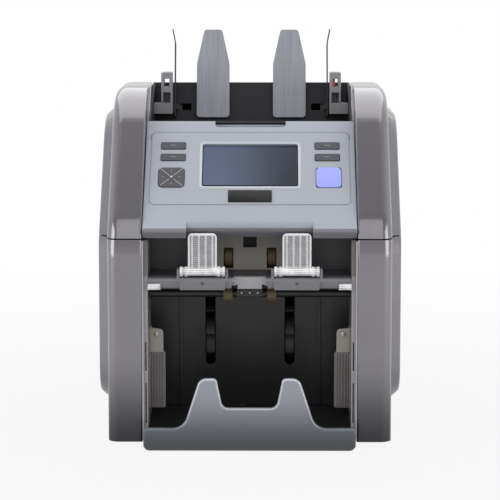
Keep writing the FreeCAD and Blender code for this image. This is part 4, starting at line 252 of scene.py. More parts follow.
class Finish(Graph):
    """One material: a Principled surface whose sockets take plain values or signals."""

    def __init__(self, name):
        self.material = bpy.data.materials.new(name)
        self.material.use_nodes = True
        super().__init__(self.material.node_tree)
        self.surface = self.node("ShaderNodeBsdfPrincipled", {}, {})
        self.output = self.node("ShaderNodeOutputMaterial", {}, {"Surface": self.surface})
        self.place = self.node("ShaderNodeTexCoord", {}, {}, "Object")

    def set(self, **sockets):
        """Set the surface's sockets; an underscore stands for a space in a socket's name."""
        principled = self.surface.socket.node
        for name, value in sockets.items():
            self.feed(principled.inputs[name.replace("_", " ")], value)
        return self.material

    def noise(self, scale, detail=2.0, roughness=0.5, stretch=None):
        place = self.place
        if stretch:
            place = self.node("ShaderNodeMapping", {}, {"Vector": place, "Scale": stretch})
        return self.node("ShaderNodeTexNoise", {}, {"Vector": place, "Scale": scale,
                                                    "Detail": detail, "Roughness": roughness})

    def patches(self, scale, detail, roughness, low, high):
        """Blotches with clear ground between them: the noise from low to high."""
        return self.spread(self.noise(scale, detail, roughness), low, high)

    def flakes(self, scale):
        colour = self.node("ShaderNodeTexVoronoi", {}, {"Vector": self.place, "Scale": scale},
                           "Color")
        return self.node("ShaderNodeSeparateColor", {}, {0: colour})

    def dots(self, scale):
        return self.node("ShaderNodeTexVoronoi", {"feature": "SMOOTH_F1"},
                         {"Vector": self.place, "Scale": scale}, "Distance")

    def axis(self, name):
        return self.component(self.place, name)

    def rounded(self, radius):
        """Normal that runs round the edges."""
        return self.node("ShaderNodeBevel", {"samples": 6}, {"Radius": radius})

    def edges(self, radius):
        """High on edges: where a rounded normal leaves the true one."""
        true = self.node("ShaderNodeNewGeometry", {}, {}, "True Normal")
        agree = self.node("ShaderNodeVectorMath", {"operation": "DOT_PRODUCT"},
                          {0: self.rounded(radius), 1: true}, "Value")
        return self.spread(1.0 - agree, 0.02, 0.3)

    def crevice_shade(self, reach):
        """High in corners and seams, where ambient occlusion finds shade; used to paint shade
        there.
        """
        return 1.0 - self.node("ShaderNodeAmbientOcclusion", {"samples": 8}, {"Distance": reach},
                               "AO")

    def bump(self, height, strength, distance, radius):
        """Normal of a grain over softened edges."""
        return self.node("ShaderNodeBump", {}, {
            "Height": height, "Strength": strength, "Distance": distance,
            "Normal": self.rounded(radius)})


def moulded(name, colour, roughness=0.45, grain=0.25, edge_wear_and_light=1.25, round_off=0.0006, coat=0.0,
            gloss=0.5, edge_reach=0.0012, second=None, painted_highlight=None):
    """Moulded plastic: eroded grain, flow marks, handled sheen, painted shade in seams, lighter
    edges.
    edge_wear_and_light lightens what lies within edge_reach of an edge, as wear and painted
    highlight, and round_off softens the edge.
    second is a further colour and painted_highlight a colour painted as highlight, each with a rule
    that says where on the part it shows."""
    finish = Finish(name)
    flow = finish.noise(scale=14, detail=3, stretch=FLOW_MARKS)
    fine = finish.noise(scale=1600, detail=2, roughness=0.6)
    handled = finish.patches(*HANDLED_SHEEN)
    body = finish.blend(flow, scaled(colour, 0.95), scaled(colour, 1.05))
    if second:
        further, where = second
        body = finish.blend(where(finish), body, further)
    # Painted shade: the colour darkens in corners and seams, where ambient occlusion finds shade.
    body = finish.blend(0.55 * finish.crevice_shade(reach=0.003), body, scaled(colour, 0.3))
    edge = finish.edges(edge_reach)
    # Edges painted lighter: part wear where handled, part painted highlight.
    body = finish.blend(edge * (0.35 + 0.4 * handled), body, scaled(colour, edge_wear_and_light))
    # Painted highlight, laid last over the colour.
    if painted_highlight:
        further, where = painted_highlight
        body = finish.blend(where(finish), body, further)
    return finish.set(Base_Color=body, Roughness=roughness - 0.03 * handled + 0.06 * fine,
                      Normal=finish.bump(fine, grain, distance=0.00004, radius=round_off),
                      Coat_Weight=coat, Specular_IOR_Level=gloss)


def cover_paint(name, colour):
    """Metallic lacquer: flakes under a clear coat, painted shade in seams and on the dull foot,
    painted highlight on edges.
    """
    finish = Finish(name)
    flakes = finish.flakes(scale=5200)
    broad = finish.noise(scale=7, detail=2)
    handled = finish.patches(*COVER_SHEEN)
    body = finish.blend(flakes, scaled(colour, 0.97), scaled(colour, 1.03))
    body = finish.blend(0.2 * broad, body, scaled(colour, 1.1))
    # Painted shade: the paint darkens in corners and seams.
    body = finish.blend(0.5 * finish.crevice_shade(reach=0.005), body, scaled(colour, 0.25))
    # Painted shade: the paint darkens towards the bottom of the covers; roughness rises and coat
    # thins there too.
    dull_shaded_foot = 1.0 - finish.spread(finish.axis("Z") + 0.01 * broad, *COVER_FOOT_SHADE)
    body = finish.blend(0.92 * dull_shaded_foot, body, scaled(colour, 0.1))
    # Painted highlight: edges lifted towards a brighter copy of the paint.
    edge = finish.edges(radius=0.0015)
    orange_peel = finish.bump(finish.noise(scale=420, detail=1), strength=0.02, distance=0.0001,
                              radius=0.0008)
    return finish.set(Base_Color=finish.blend(0.4 * edge, body, scaled(colour, 1.4)), Metallic=0.5,
                      Roughness=0.27 + 0.03 * handled - 0.03 * flakes + 0.2 * dull_shaded_foot,
                      Coat_Weight=(0.8 - 0.08 * handled) * (1.0 - 0.85 * dull_shaded_foot),
                      Coat_Roughness=0.08, Coat_IOR=1.9, Normal=orange_peel)


def metal(name, colour, roughness=0.35):
    """Plated sheet or bar: lengthwise drawing lines, dull blooms, and edges painted brighter as
    painted highlight.
    """
    finish = Finish(name)
    lines = finish.noise(scale=60, detail=3, roughness=0.6, stretch=DRAWN_LINES)
    bloom = finish.patches(*PLATING_BLOOM)
    edge = finish.edges(radius=0.0008)
    body = finish.blend(bloom, scaled(colour, 0.88), scaled(colour, 1.05))
    # Painted highlight: edges lifted towards a brighter copy of the plating.
    return finish.set(Base_Color=finish.blend(0.5 * edge, body, scaled(colour, 1.25)), Metallic=1.0,
                      Roughness=roughness + 0.14 * lines - 0.1 * edge,
                      Normal=finish.bump(lines, strength=0.12, distance=0.00006, radius=0.0004))


def tyre(name, colour, roughness=0.6):
    """Roller tyre or rubber foot: ground surface with dust and a worn sheen."""
    finish = Finish(name)
    ground = finish.noise(scale=900, detail=3, roughness=0.7)
    dust = finish.patches(*TYRE_DUST)
    body = finish.blend(ground, scaled(colour, 0.85), scaled(colour, 1.12))
    return finish.set(Base_Color=finish.blend(0.25 * dust, body, scaled(colour, 1.6)),
                      Roughness=roughness + 0.15 * dust,
                      Normal=finish.bump(ground, strength=0.3, distance=0.00006, radius=0.0005))


def shaft_train(name, axis):
    """A drive shaft with its rollers and gear, each in its own stuff, told apart by place."""
    finish = Finish(name)
    x = finish.axis("X")
    away_y = finish.axis("Y") - axis[0]
    away_z = finish.axis("Z") - axis[1]
    away = (away_y * away_y + away_z * away_z) ** 0.5
    bare = away < SHAFT_RADIUS + SHAFT_SKIN
    gear = (x < GEAR_X) * (1.0 - bare)
    tread = (abs(x) < TREAD_HALF) * (1.0 - bare)
    ground = finish.noise(scale=900, detail=3, roughness=0.7)
    lines = finish.noise(scale=60, detail=3, roughness=0.6, stretch=DRAWN_LINES)
    steel = finish.blend(lines, tone(150, 150, 153), tone(190, 190, 192))
    rubber = finish.blend(ground, tone(34, 34, 35), tone(52, 52, 53))
    acetal = finish.blend(ground, tone(214, 211, 200), tone(228, 225, 214))
    body = finish.blend(gear, finish.blend(tread, steel, rubber), acetal)
    return finish.set(Base_Color=body, Metallic=(1.0 - tread) * (1.0 - gear),
                      Roughness=0.3 + 0.15 * lines + 0.3 * tread,
                      Normal=finish.bump(ground, strength=0.15, distance=0.00005, radius=0.0004))


def ribbed_finger(name, colour):
    """Finger moulding with fine lengthwise tool lines, and edges painted lighter as painted
    highlight.
    """
    finish = Finish(name)
    lines = finish.noise(scale=40, detail=3, roughness=0.6, stretch=FINGER_LINES)
    handled = finish.patches(*HANDLED_SHEEN)
    body = finish.blend(finish.spread(lines, 0.3, 0.7), scaled(colour, 0.88), scaled(colour, 1.1))
    edge = finish.edges(radius=0.0012)
    return finish.set(Base_Color=finish.blend(0.5 * edge, body, scaled(colour, 1.2)),
                      Roughness=0.42 - 0.08 * handled + 0.08 * lines,
                      Normal=finish.bump(lines, strength=0.2, distance=0.0001, radius=0.0006))


def clear_moulding(name, colour):
    """Clear acrylic that has gone a little cloudy. On the stoppers the beads along the ribs are
    whiter and more opaque, and the edges, the rim and the barrel are painted white and opaque as
    painted highlight."""
    finish = Finish(name)
    dots = finish.dots(scale=420.0)
    scuffs = finish.patches(*ACRYLIC_SCUFFS)
    cloud = finish.patches(*ACRYLIC_CLOUD)
    edge = finish.edges(radius=0.0008)
    body = finish.blend(finish.spread(dots, 0.2, 0.8), scaled(colour, 0.9), colour)
    height = finish.axis("Z")
    across = abs(abs(finish.axis("X")) - STOPPER_X)
    barrel = 1.0 - finish.spread(height, *BARREL_TOP)
    side_rim = finish.spread(across, *STOPPER_SIDE_RIM) * (across < STOPPER_REACH)
    rim = side_rim.most(finish.spread(height, *STOPPER_TOP_RIM))
    wave = (height * (2 * math.pi / BEAD_PITCH)).sine()
    beads = (finish.axis("Y") < STOPPER_RIB_Y) * finish.spread(wave, -0.6, 0.4)
    # Painted highlight on the edges, the rim and the barrel, together with the real beads: whiter
    # and more opaque.
    beads_and_highlight = (0.5 * edge).most(rim).most(beads.most(barrel * (0.35 + 0.6 * cloud)))
    return finish.set(Base_Color=finish.blend(beads_and_highlight, body, WHITE),
                      Roughness=0.1 + 0.15 * scuffs + 0.15 * edge, IOR=1.46,
                      Alpha=0.4 + 0.1 * cloud + 0.5 * beads_and_highlight, Coat_Weight=0.6,
                      Normal=finish.bump(dots, strength=0.15, distance=0.0004, radius=0.0006))


def circuit_board(name):
    """Green laminate with etched tracks."""
    finish = Finish(name)
    tracks = finish.node("ShaderNodeTexBrick", {"offset": 0.37}, {
        "Vector": finish.place, "Scale": 160.0, "Mortar Size": 0.09, "Color1": tone(22, 92, 52),
        "Color2": tone(18, 78, 46), "Mortar": tone(60, 130, 76)})
    blotch = finish.noise(scale=70, detail=3)
    return finish.set(Base_Color=finish.blend(0.3 * blotch, tracks, tone(14, 62, 38)),
                      Roughness=0.35 + 0.2 * blotch,
                      Normal=finish.bump(blotch, strength=0.1, distance=0.0001, radius=0.0003))


def lit_display(name):
    """Display behind glass: a slate-blue field, darker to the right, in a black border."""
    finish = Finish(name)
    x, z = finish.axis("X"), finish.axis("Z")
    glow = finish.blend(finish.spread(x, *GLOW_ACROSS), tone(92, 105, 134), tone(36, 39, 50))
    glow = finish.blend(0.3 * finish.spread(z, *GLOW_UP), glow, tone(60, 68, 90))
    inside = (abs(x) < LIT_HALF) * (z > LIT_LOW) * (z < LIT_HIGH)
    smear = finish.patches(*GLASS_SMEAR)
    return finish.set(Base_Color=tone(12, 14, 18), Emission_Strength=0.8,
                      Emission_Color=finish.blend(inside, tone(8, 8, 10), glow),
                      Roughness=0.06 + 0.12 * smear, Specular_IOR_Level=0.25)


def reject_middle(finish):
    """Where the raised centre panel of the reject tray is."""
    return (abs(finish.axis("X")) < TRAY_MIDDLE_HALF) * (finish.axis("Y") > TRAY_MIDDLE_Y)


def blade_metal(finish):
    """Where the inlet's blades are."""
    y = finish.axis("Y")
    return (y < BLADE_REAR) * (finish.axis("X") < INLET_X) * (y > BLADE_FRONT)


def front_edge(finish):
    """Where the liner's front edge is."""
    return finish.axis("Y") < LINER_EDGE_Y


def guard_skirt(finish):
    """Where the ribbed skirt of a stacker guard is."""
    return finish.axis("Z") < GUARD_SKIRT_TOP


def bar_middle(finish):
    """Where the set-back middle of the reject bar is."""
    return abs(finish.axis("X")) < BAR_MIDDLE_HALF


def panel_lip_shade(finish):
    """Where the control panel turns under at its foot, painted darker as painted shade."""
    return finish.axis("Z") < PANEL_LIP_TOP


def plate_foot_shade(finish):
    """Rises towards the foot of the horned plate, which is painted darker there as painted shade.
    """
    return 1.0 - finish.spread(finish.axis("Z"), *PLATE_FOOT_SHADE)


def plate_rim_highlight(finish):
    """Along the rounded upper rim of the horned plate, painted near-white as painted highlight,
    most on the horns.
    """
    normal = finish.node("ShaderNodeNewGeometry", {}, {}, "Normal")
    forward = abs(finish.component(normal, "Y"))
    turned = finish.spread(forward, *RIM_TURN_OUT) * (1.0 - finish.spread(forward, *RIM_TURN_IN))
    height = finish.axis("Z")
    horns = finish.spread(height, *PLATE_HORNS)
    return turned * finish.spread(height, *PLATE_RIM) * (0.22 + 0.4 * horns)


# Finishes by the record's material slots
PALETTE = {
    "side_cover": cover_paint("cover_paint", tone(112, 109, 116)),
    "panel": moulded("panel_moulding", tone(164, 168, 177), roughness=0.44, grain=0.2,
                     edge_wear_and_light=1.15, second=(tone(118, 118, 125), panel_lip_shade)),
    "screen": lit_display("lit_display"),
    "key": moulded("key_cap", tone(80, 81, 86), roughness=0.5, grain=0.2, edge_wear_and_light=1.35,
                   gloss=0.35),
    "start_key": moulded("start_key_cap", tone(160, 168, 246), roughness=0.4, grain=0.15,
                         edge_wear_and_light=0.35, edge_reach=0.0011),
    "hopper": moulded("hopper_moulding", tone(46, 45, 49), roughness=0.5, gloss=0.2),
    "finger": ribbed_finger("finger_moulding", tone(146, 149, 157)),
    "front_plate": moulded("front_plate_moulding", tone(154, 159, 166), roughness=0.3, grain=0.1,
                           edge_wear_and_light=2.1, round_off=0.003, coat=0.3, edge_reach=0.0042,
                           second=(tone(60, 64, 70), plate_foot_shade),
                           painted_highlight=(tone(236, 239, 243), plate_rim_highlight)),
    "pocket": moulded("pocket_moulding", tone(31, 30, 33), roughness=0.42),
    "liner": moulded("liner_moulding", tone(120, 116, 113), roughness=0.36, grain=0.2,
                     edge_wear_and_light=1.2, coat=0.2, second=(tone(154, 151, 157), front_edge)),
    "clear": clear_moulding("clear_acrylic", tone(222, 223, 228)),
    "amber": tyre("amber_tyre", tone(104, 92, 70), roughness=0.45),
    "steel": metal("plated_steel", tone(176, 176, 178)),
    "gear": moulded("gear_acetal", tone(222, 219, 208), roughness=0.35, grain=0.1, edge_wear_and_light=1.05),
    "rubber": tyre("black_rubber", tone(38, 38, 39)),
    "board": circuit_board("board_laminate"),
    "black": moulded("black_moulding", tone(32, 32, 34), roughness=0.4, grain=0.3, edge_wear_and_light=1.6),
}
# Nodes with a finish of their own
SPECIAL = {
    "reject_tray": moulded("reject_tray_moulding", tone(62, 60, 65), roughness=0.4,
                           second=(tone(152, 148, 143), reject_middle)),
    "reject_bar": moulded("bar_moulding", tone(112, 112, 118), roughness=0.22, grain=0.1,
                          edge_wear_and_light=2.2, round_off=0.0012, coat=0.6,
                          second=(tone(160, 158, 164), bar_middle)),
    "stack_guards": moulded("guard_moulding", tone(158, 153, 147), roughness=0.36, grain=0.15,
                            coat=0.3, second=(tone(104, 101, 100), guard_skirt)),
    "hopper_blocks": moulded("block_moulding", tone(138, 138, 143), roughness=0.42),
    "rear_sockets": moulded("socket_moulding", tone(30, 30, 32), roughness=0.4,
                            second=(tone(196, 176, 120), blade_metal)),
    "transport_shaft": shaft_train("transport_train", TRANSPORT_AXIS),
    "feed_shaft": shaft_train("feed_train", FEED_AXIS),
}
# Finishes of the pieces that are made here
LEGEND = moulded("legend_ink", tone(192, 194, 199), roughness=0.5, grain=0.1, edge_wear_and_light=1.05)
FAINT_LEGEND = moulded("faint_legend_ink", tone(150, 151, 156), roughness=0.5, grain=0.1,
                       edge_wear_and_light=1.05)
PLATE_BLACK = moulded("plate_gloss", tone(26, 26, 28), roughness=0.4, grain=0.05, edge_wear_and_light=1.8,
                      round_off=0.0003, gloss=0.25)
# Bezel grey lighter than the panel's, as painted highlight for the bright rim round the screen
BEZEL = moulded("bezel_moulding", tone(190, 194, 202), roughness=0.18, grain=0.05, edge_wear_and_light=1.2,
                coat=0.6)
# Darker grey of the strip of painted shade round the field's head
SHADE_LINE = moulded("painted_field_shade", tone(128, 131, 141), roughness=0.5, grain=0.1, edge_wear_and_light=1.1)
SCREW = metal("screw_zinc", tone(188, 188, 190), roughness=0.28)
LAMP_LENS = moulded("lamp_lens", tone(206, 66, 78), roughness=0.2, grain=0.05, edge_wear_and_light=1.2,
                    coat=0.5)


def dress_nodes():
    """Give every node of the model the finish of its record slot, or its own."""
    for part in frame["record"]["subparts"]:
        node = frame["nodes"][part["node"]]
        node.data.materials.clear()
        node.data.materials.append(SPECIAL.get(part["node"], PALETTE[part["material_slot"]]))


def piece(form, name, material, body):
    """Turn a finished bmesh into a piece that rides on a body."""
    bmesh.ops.recalc_face_normals(form, faces=form.faces)
    for edge in form.edges:
        edge.smooth = len(edge.link_faces) == 2 and edge.calc_face_angle() < SMOOTH_BELOW
    for face in form.faces:
        face.smooth = True
    mesh = bpy.data.meshes.new(name)
    form.to_mesh(mesh)
    form.free()
    made = bpy.data.objects.new(name, mesh)
    scene.collection.objects.link(made)
    mesh.materials.append(material)
    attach(made, body)
    return made


def everything(form):
    return form.verts[:] + form.edges[:] + form.faces[:]


def corners(geometry):
    """The vertices among what an operator gives back."""
    return [part for part in geometry if isinstance(part, bmesh.types.BMVert)]


def open_edges(form):
    return [edge for edge in form.edges if edge.is_boundary]


def soften(form, edges, radius, segments, affect="EDGES"):
    """Round the given edges or corners."""
    bmesh.ops.bevel(form, geom=edges, offset=radius, offset_type="OFFSET", affect=affect,
                    segments=segments, profile=0.5, material=-1)


def slab(half_x, half_y, thick, radius, ease):
    """Rounded slab that stands on z = 0, with a softened top edge."""
    form = bmesh.new()
    size = Matrix.Diagonal((2 * half_x, 2 * half_y, thick, 1))
    bmesh.ops.create_cube(form, size=1, matrix=Matrix.Translation((0, 0, thick / 2)) @ size)
    upright = [edge for edge in form.edges
               if abs(edge.verts[0].co.z - edge.verts[1].co.z) > thick / 2]
    soften(form, upright, radius, CORNER_STEPS)
    rim = [edge for edge in form.edges if min(vert.co.z for vert in edge.verts) > thick * 0.99]
    soften(form, rim, ease, EASE_STEPS)
    return form


def sheet(half_x, half_w, radius):
    """Flat rounded outline about the origin, as one face."""
    form = bmesh.new()
    outline = Matrix.Diagonal((half_x, half_w, 1, 1))
    bmesh.ops.create_grid(form, x_segments=1, y_segments=1, size=1, matrix=outline)
    soften(form, form.verts[:], radius, OUTLINE_STEPS, "VERTICES")
    return form


def on_panel(form, x, w, n):
    """Carry a form drawn about the origin to a place on the panel's slope."""
    bmesh.ops.transform(form, matrix=ON_SLOPE @ Matrix.Translation((x, w, n)), verts=form.verts)


def name_plate():
    """Bare black plate below the screen."""
    form = slab(NAME_PLATE_HALF, (NAME_PLATE_HIGH - NAME_PLATE_LOW) / 2, NAME_PLATE_THICK,
                NAME_PLATE_CORNER, NAME_PLATE_EASE)
    on_panel(form, 0, (NAME_PLATE_LOW + NAME_PLATE_HIGH) / 2, FIELD_RISE)
    piece(form, "name_plate", PLATE_BLACK, "upper_unit")


def screen_bezel():
    """Sloping frame that leads from the panel's field down to the glass."""
    half_w = (SCREEN_HIGH - SCREEN_LOW) / 2
    form = sheet(SCREEN_HALF + BEZEL_RIM, half_w + BEZEL_RIM, BEZEL_CORNER)
    middle = form.faces[:]
    for share, depth in BEZEL_STEPS:
        bmesh.ops.inset_region(form, faces=middle, thickness=BEZEL_RIM * share, depth=depth,
                               use_boundary=True, use_even_offset=True)
    bmesh.ops.delete(form, geom=middle, context="FACES")
    outer = [edge for edge in open_edges(form)
             if min(vert.co.z for vert in edge.verts) > -BEZEL_CREST]
    skirt = bmesh.ops.extrude_edge_only(form, edges=outer)["geom"]
    bmesh.ops.translate(form, vec=(0, 0, -FIELD_RISE - BEZEL_DEPTH), verts=corners(skirt))
    bmesh.ops.bridge_loops(form, edges=open_edges(form))
    on_panel(form, 0, (SCREEN_LOW + SCREEN_HIGH) / 2, FIELD_RISE)
    piece(form, "screen_bezel", BEZEL, "upper_unit")


def field_shade_line():
    """Painted shade: a darker strip laid round the head of the panel's field."""
    half_w = (FIELD_HIGH - FIELD_LOW) / 2
    form = sheet(FIELD_HALF + SHADE_LINE_WIDTH, half_w + SHADE_LINE_WIDTH, FIELD_CORNER + SHADE_LINE_WIDTH)
    middle = form.faces[:]
    bmesh.ops.inset_region(form, faces=middle, thickness=SHADE_LINE_WIDTH, use_boundary=True,
                           use_even_offset=True)
    bmesh.ops.delete(form, geom=middle, context="FACES")
    bmesh.ops.bisect_plane(form, geom=everything(form), plane_co=(0, half_w - SHADE_LINE_DROP, 0),
                           plane_no=(0, 1, 0), clear_inner=True)
    bmesh.ops.recalc_face_normals(form, faces=form.faces)
    bmesh.ops.solidify(form, geom=form.faces[:], thickness=SHADE_LINE_THICK)
    on_panel(form, 0, (FIELD_LOW + FIELD_HIGH) / 2, SHADE_LINE_THICK)
    piece(form, "field_shade_line", SHADE_LINE, "upper_unit")


def start_key_cap():
    """Start key with well-rounded corners on the flange that holds it behind the panel."""
    form = slab(START_HALF_X + START_FLANGE, START_HALF_W + START_FLANGE, START_FLANGE_THICK,
                START_CORNER + START_FLANGE, START_FLANGE_EASE)
    top = max(form.faces, key=lambda face: face.calc_center_median().z)
    bmesh.ops.inset_region(form, faces=[top], thickness=START_FLANGE - START_FLANGE_EASE,
                           use_even_offset=True)
    rise = KEY_TOP - START_FOOT - START_FLANGE_THICK
    bmesh.ops.inset_region(form, faces=[top], thickness=0, depth=rise, use_even_offset=True)
    soften(form, top.edges[:], START_ROUND, ROUND_STEPS)
    on_panel(form, PAD_X, PAD_W, START_FOOT)
    made = piece(form, "start_key_cap", PALETTE["start_key"], "start")
    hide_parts("start_key")


def key_legends():
    """Short pale dash on each function key."""
    places = [(x, w) for x in (-KEY_X, KEY_X) for w in (KEY_UPPER_W, KEY_LOWER_W)]
    for number, (x, w) in enumerate(places, 1):
        form = slab(DASH_HALF_X, DASH_HALF_W, DASH_THICK, DASH_CORNER, DASH_EASE)
        on_panel(form, x, w, KEY_TOP)
        piece(form, "legend_%d" % number, FAINT_LEGEND, "key_%d" % number)


def pad_marks():
    """The inlaid cross and centre dot of the four-way pad, and four faint arrow heads."""
    cross, arrows = bmesh.new(), bmesh.new()
    for quarter in range(4):
        made = bmesh.ops.create_cube(cross, size=1)
        turn = Matrix.Rotation((quarter + 0.5) * math.pi / 2, 4, "Z")
        arm = turn @ Matrix.Translation((CROSS_REACH, 0, -CROSS_SINK))
        size = Matrix.Diagonal((CROSS_ARM, CROSS_WIDTH, CROSS_THICK, 1))
        bmesh.ops.transform(cross, matrix=arm @ size, verts=made["verts"])
        made = bmesh.ops.create_cone(arrows, cap_ends=True, segments=3, radius1=ARROW_RADIUS,
                                     radius2=ARROW_RADIUS, depth=ARROW_THICK)
        turn = Matrix.Rotation(quarter * math.pi / 2, 4, "Z")
        head = turn @ Matrix.Translation((0, ARROW_REACH, ARROW_THICK / 2))
        bmesh.ops.transform(arrows, matrix=head, verts=made["verts"])
    made = bmesh.ops.create_cone(cross, cap_ends=True, segments=DISC_SIDES, radius1=DOT_FOOT,
                                 radius2=DOT_TOP, depth=DOT_THICK)
    bmesh.ops.translate(cross, vec=(0, 0, DOT_RISE), verts=made["verts"])
    for form, name, ink in ((cross, "pad_cross", LEGEND), (arrows, "pad_arrows", FAINT_LEGEND)):
        on_panel(form, -PAD_X, PAD_W, KEY_TOP)
        piece(form, name, ink, "nav")


def screw_head(form, place, radius):
    """Pan head with a sunk cross, standing on the XY plane of its place."""
    head = bmesh.new()
    bmesh.ops.create_circle(head, cap_ends=True, segments=DISC_SIDES, radius=radius)
    for way in (Vector((1, 0, 0)), Vector((0, 1, 0))):
        for share in (-SLOT_REACH, -SLOT_HALF, SLOT_HALF, SLOT_REACH):
            bmesh.ops.bisect_plane(head, geom=everything(head), plane_co=way * share * radius,
                                   plane_no=way)
    cross = []
    for face in head.faces:
        near, far = sorted(abs(part) / radius for part in face.calc_center_median().xy)
        if near < SLOT_HALF and far < SLOT_REACH:
            cross.append(face)
    for vert in head.verts:
        vert.co.z = radius * (HEAD_RISE - HEAD_FALL * (vert.co.xy.length / radius) ** 2)
    sunk = bmesh.ops.extrude_face_region(head, geom=cross)["geom"]
    bmesh.ops.delete(head, geom=cross, context="FACES")
    bmesh.ops.translate(head, vec=(0, 0, -radius * SLOT_DEPTH), verts=corners(sunk))
    skirt = bmesh.ops.extrude_edge_only(head, edges=open_edges(head))["geom"]
    bmesh.ops.translate(head, vec=(0, 0, -radius * (HEAD_RISE - HEAD_FALL)), verts=corners(skirt))
    bmesh.ops.holes_fill(head, edges=open_edges(head))
    bmesh.ops.transform(head, matrix=place, verts=head.verts)
    joined = bpy.data.meshes.new("screw_head")
    head.to_mesh(joined)
    head.free()
    form.from_mesh(joined)
    bpy.data.meshes.remove(joined)


def screw_set(name, body, places, facing, radius):
    """Screws that face one way, as one piece."""
    form = bmesh.new()
    for place in places:
        screw_head(form, Matrix.Translation(place) @ facing, radius)
    piece(form, name, SCREW, body)


def screws():
    """Screws on the stacker's guards and round the rear covers."""
    to_front = Matrix.Rotation(math.pi / 2, 4, "X")
    to_rear = Matrix.Rotation(-math.pi / 2, 4, "X")
    guards = [(x, GUARD_SCREW_Y, GUARD_SCREW_Z) for x in (-GUARD_SCREW_X, GUARD_SCREW_X)]
    lower = [(x, REAR_SCREW_Y, z) for x in (-REAR_SCREW_X, REAR_SCREW_X)
             for z in (REAR_SCREW_LOW, REAR_SCREW_HIGH)]
    upper = [(x, REAR_SCREW_Y, UPPER_SCREW_Z) for x in (-REAR_SCREW_X, REAR_SCREW_X)]
    screw_set("guard_screws", "base", guards, to_front, GUARD_SCREW_RADIUS)
    screw_set("rear_screws", "base", lower, to_rear, REAR_SCREW_RADIUS)
    screw_set("upper_rear_screws", "upper_unit", upper, to_rear, REAR_SCREW_RADIUS)


def exit_eye():
    """Small dark sensor head under the middle of the bar, with three lens dots."""
    form = slab(EYE_HALF_X, EYE_HALF_Y, EYE_TALL, EYE_CORNER, EYE_EASE)
    bmesh.ops.translate(form, vec=EYE_PLACE, verts=form.verts)
    piece(form, "exit_eye", PALETTE["black"], "base")
    form = bmesh.new()
    for x in (-EYE_DOT_PITCH, 0, EYE_DOT_PITCH):
        made = bmesh.ops.create_uvsphere(form, u_segments=16, v_segments=8, radius=EYE_DOT_RADIUS)
        bmesh.ops.translate(form, vec=(x, EYE_DOT_Y, EYE_DOT_Z), verts=made["verts"])
    piece(form, "exit_eye_dots", LEGEND, "base")


def block_lamp():
    """Red lamp lens in the window of the right hopper block."""
    low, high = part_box("hopper_blocks")
    form = slab(LAMP_HALF_X, LAMP_HALF_Y, LAMP_TALL, LAMP_CORNER, LAMP_EASE)
    place = (LAMP_X, low[1] + LAMP_BACK, high[2] - LAMP_DROP)
    bmesh.ops.translate(form, vec=place, verts=form.verts)
    piece(form, "block_lamp", LAMP_LENS, "upper_unit")


def background_rays(graph):
    """1 for the rays that show a background: from the camera, off gloss and through clear stuff."""
    kinds = ("Is Camera Ray", "Is Glossy Ray", "Is Transmission Ray")
    seen, glossy, through = [graph.node("ShaderNodeLightPath", {}, {}, kind) for kind in kinds]
    return (seen + glossy + through).least(1.0)


def floor_and_backdrop():
    """Pale floor that runs into a white backdrop and keeps the machine's shadow."""
    plan = bmesh.new()
    bmesh.ops.create_grid(plan, x_segments=1, y_segments=1, size=FLOOR_HALF)
    mesh = bpy.data.meshes.new("floor")
    plan.to_mesh(mesh)
    plan.free()
    floor = bpy.data.objects.new("floor", mesh)
    scene.collection.objects.link(floor)
    paper = Finish("pale_floor")
    paper.set(Base_Color=FLOOR_GREY, Roughness=0.9)
    away = paper.node("ShaderNodeVectorMath", {"operation": "LENGTH"}, {0: paper.place}, "Value")
    white = paper.node("ShaderNodeEmission", {}, {"Color": WHITE, "Strength": 1.0})
    fade = (1.0 - FLOOR_WHITE_NEAR) * paper.spread(away, *FLOOR_FADE)
    factor = background_rays(paper) * (FLOOR_WHITE_NEAR + fade)
    mixed = paper.node("ShaderNodeMixShader", {}, {0: factor, 1: paper.surface, 2: white})
    paper.feed(paper.output.inputs["Surface"], mixed)
    mesh.materials.append(paper.material)


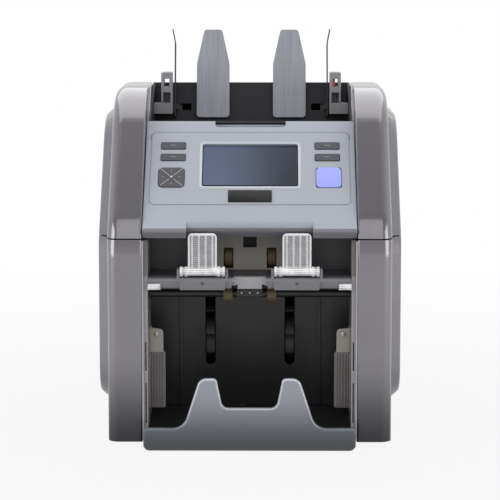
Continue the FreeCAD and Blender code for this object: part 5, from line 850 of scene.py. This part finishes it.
def softbox(name, place, width, height, watts):
    """Rectangular studio light, aimed at the machine."""
    data = bpy.data.lights.new(name, "AREA")
    data.shape = "RECTANGLE"
    data.size = width
    data.size_y = height
    data.energy = watts
    lamp = bpy.data.objects.new(name, data)
    scene.collection.objects.link(lamp)
    lamp.location = place
    lamp.rotation_euler = (Vector(place) - Vector(SOFTBOX_AIM)).to_track_quat("Z", "Y").to_euler()


def studio():
    """White backdrop, a dimmer room in front of the machine for its gloss, and the softboxes."""
    scene.world = bpy.data.worlds.new("studio")
    scene.world.use_nodes = True
    room = Graph(scene.world.node_tree)
    seen = room.node("ShaderNodeLightPath", {}, {}, "Is Camera Ray")
    shown = background_rays(room)
    facing = room.node("ShaderNodeTexCoord", {}, {}, "Generated")
    rear = room.spread(room.component(facing, "Y"), *ROOM_TURN)
    above = room.spread(room.component(facing, "Z"), *ROOM_CLIMB)
    front = ROOM_FRONT - (ROOM_FRONT - ROOM_CEILING) * above
    reflected = front + (ROOM_REAR - front) * rear
    level = shown * (seen + (1.0 - seen) * reflected) + (1.0 - shown) * ROOM_LIGHT
    light = room.node("ShaderNodeBackground", {}, {"Color": WHITE, "Strength": level})
    room.node("ShaderNodeOutputWorld", {}, {"Surface": light})
    for name, settings in SOFTBOXES.items():
        softbox(name, *settings)


def photo_camera():
    """Camera where the photograph was taken."""
    data = bpy.data.cameras.new("photo_camera")
    data.lens = CAMERA_LENS
    data.sensor_width = CAMERA_SENSOR
    camera = bpy.data.objects.new("photo_camera", data)
    scene.collection.objects.link(camera)
    level = math.cos(CAMERA_RISE)
    back = Vector((math.sin(CAMERA_TURN) * level, -math.cos(CAMERA_TURN) * level,
                   math.sin(CAMERA_RISE)))
    camera.location = Vector(CAMERA_AIM) + back * CAMERA_DISTANCE
    camera.rotation_euler = back.to_track_quat("Z", "Y").to_euler()
    scene.camera = camera


scene.view_settings.view_transform = "Standard"
dress_nodes()
screen_bezel()
field_shade_line()
start_key_cap()
name_plate()
key_legends()
pad_marks()
screws()
exit_eye()
block_lamp()
floor_and_backdrop()
studio()
photo_camera()
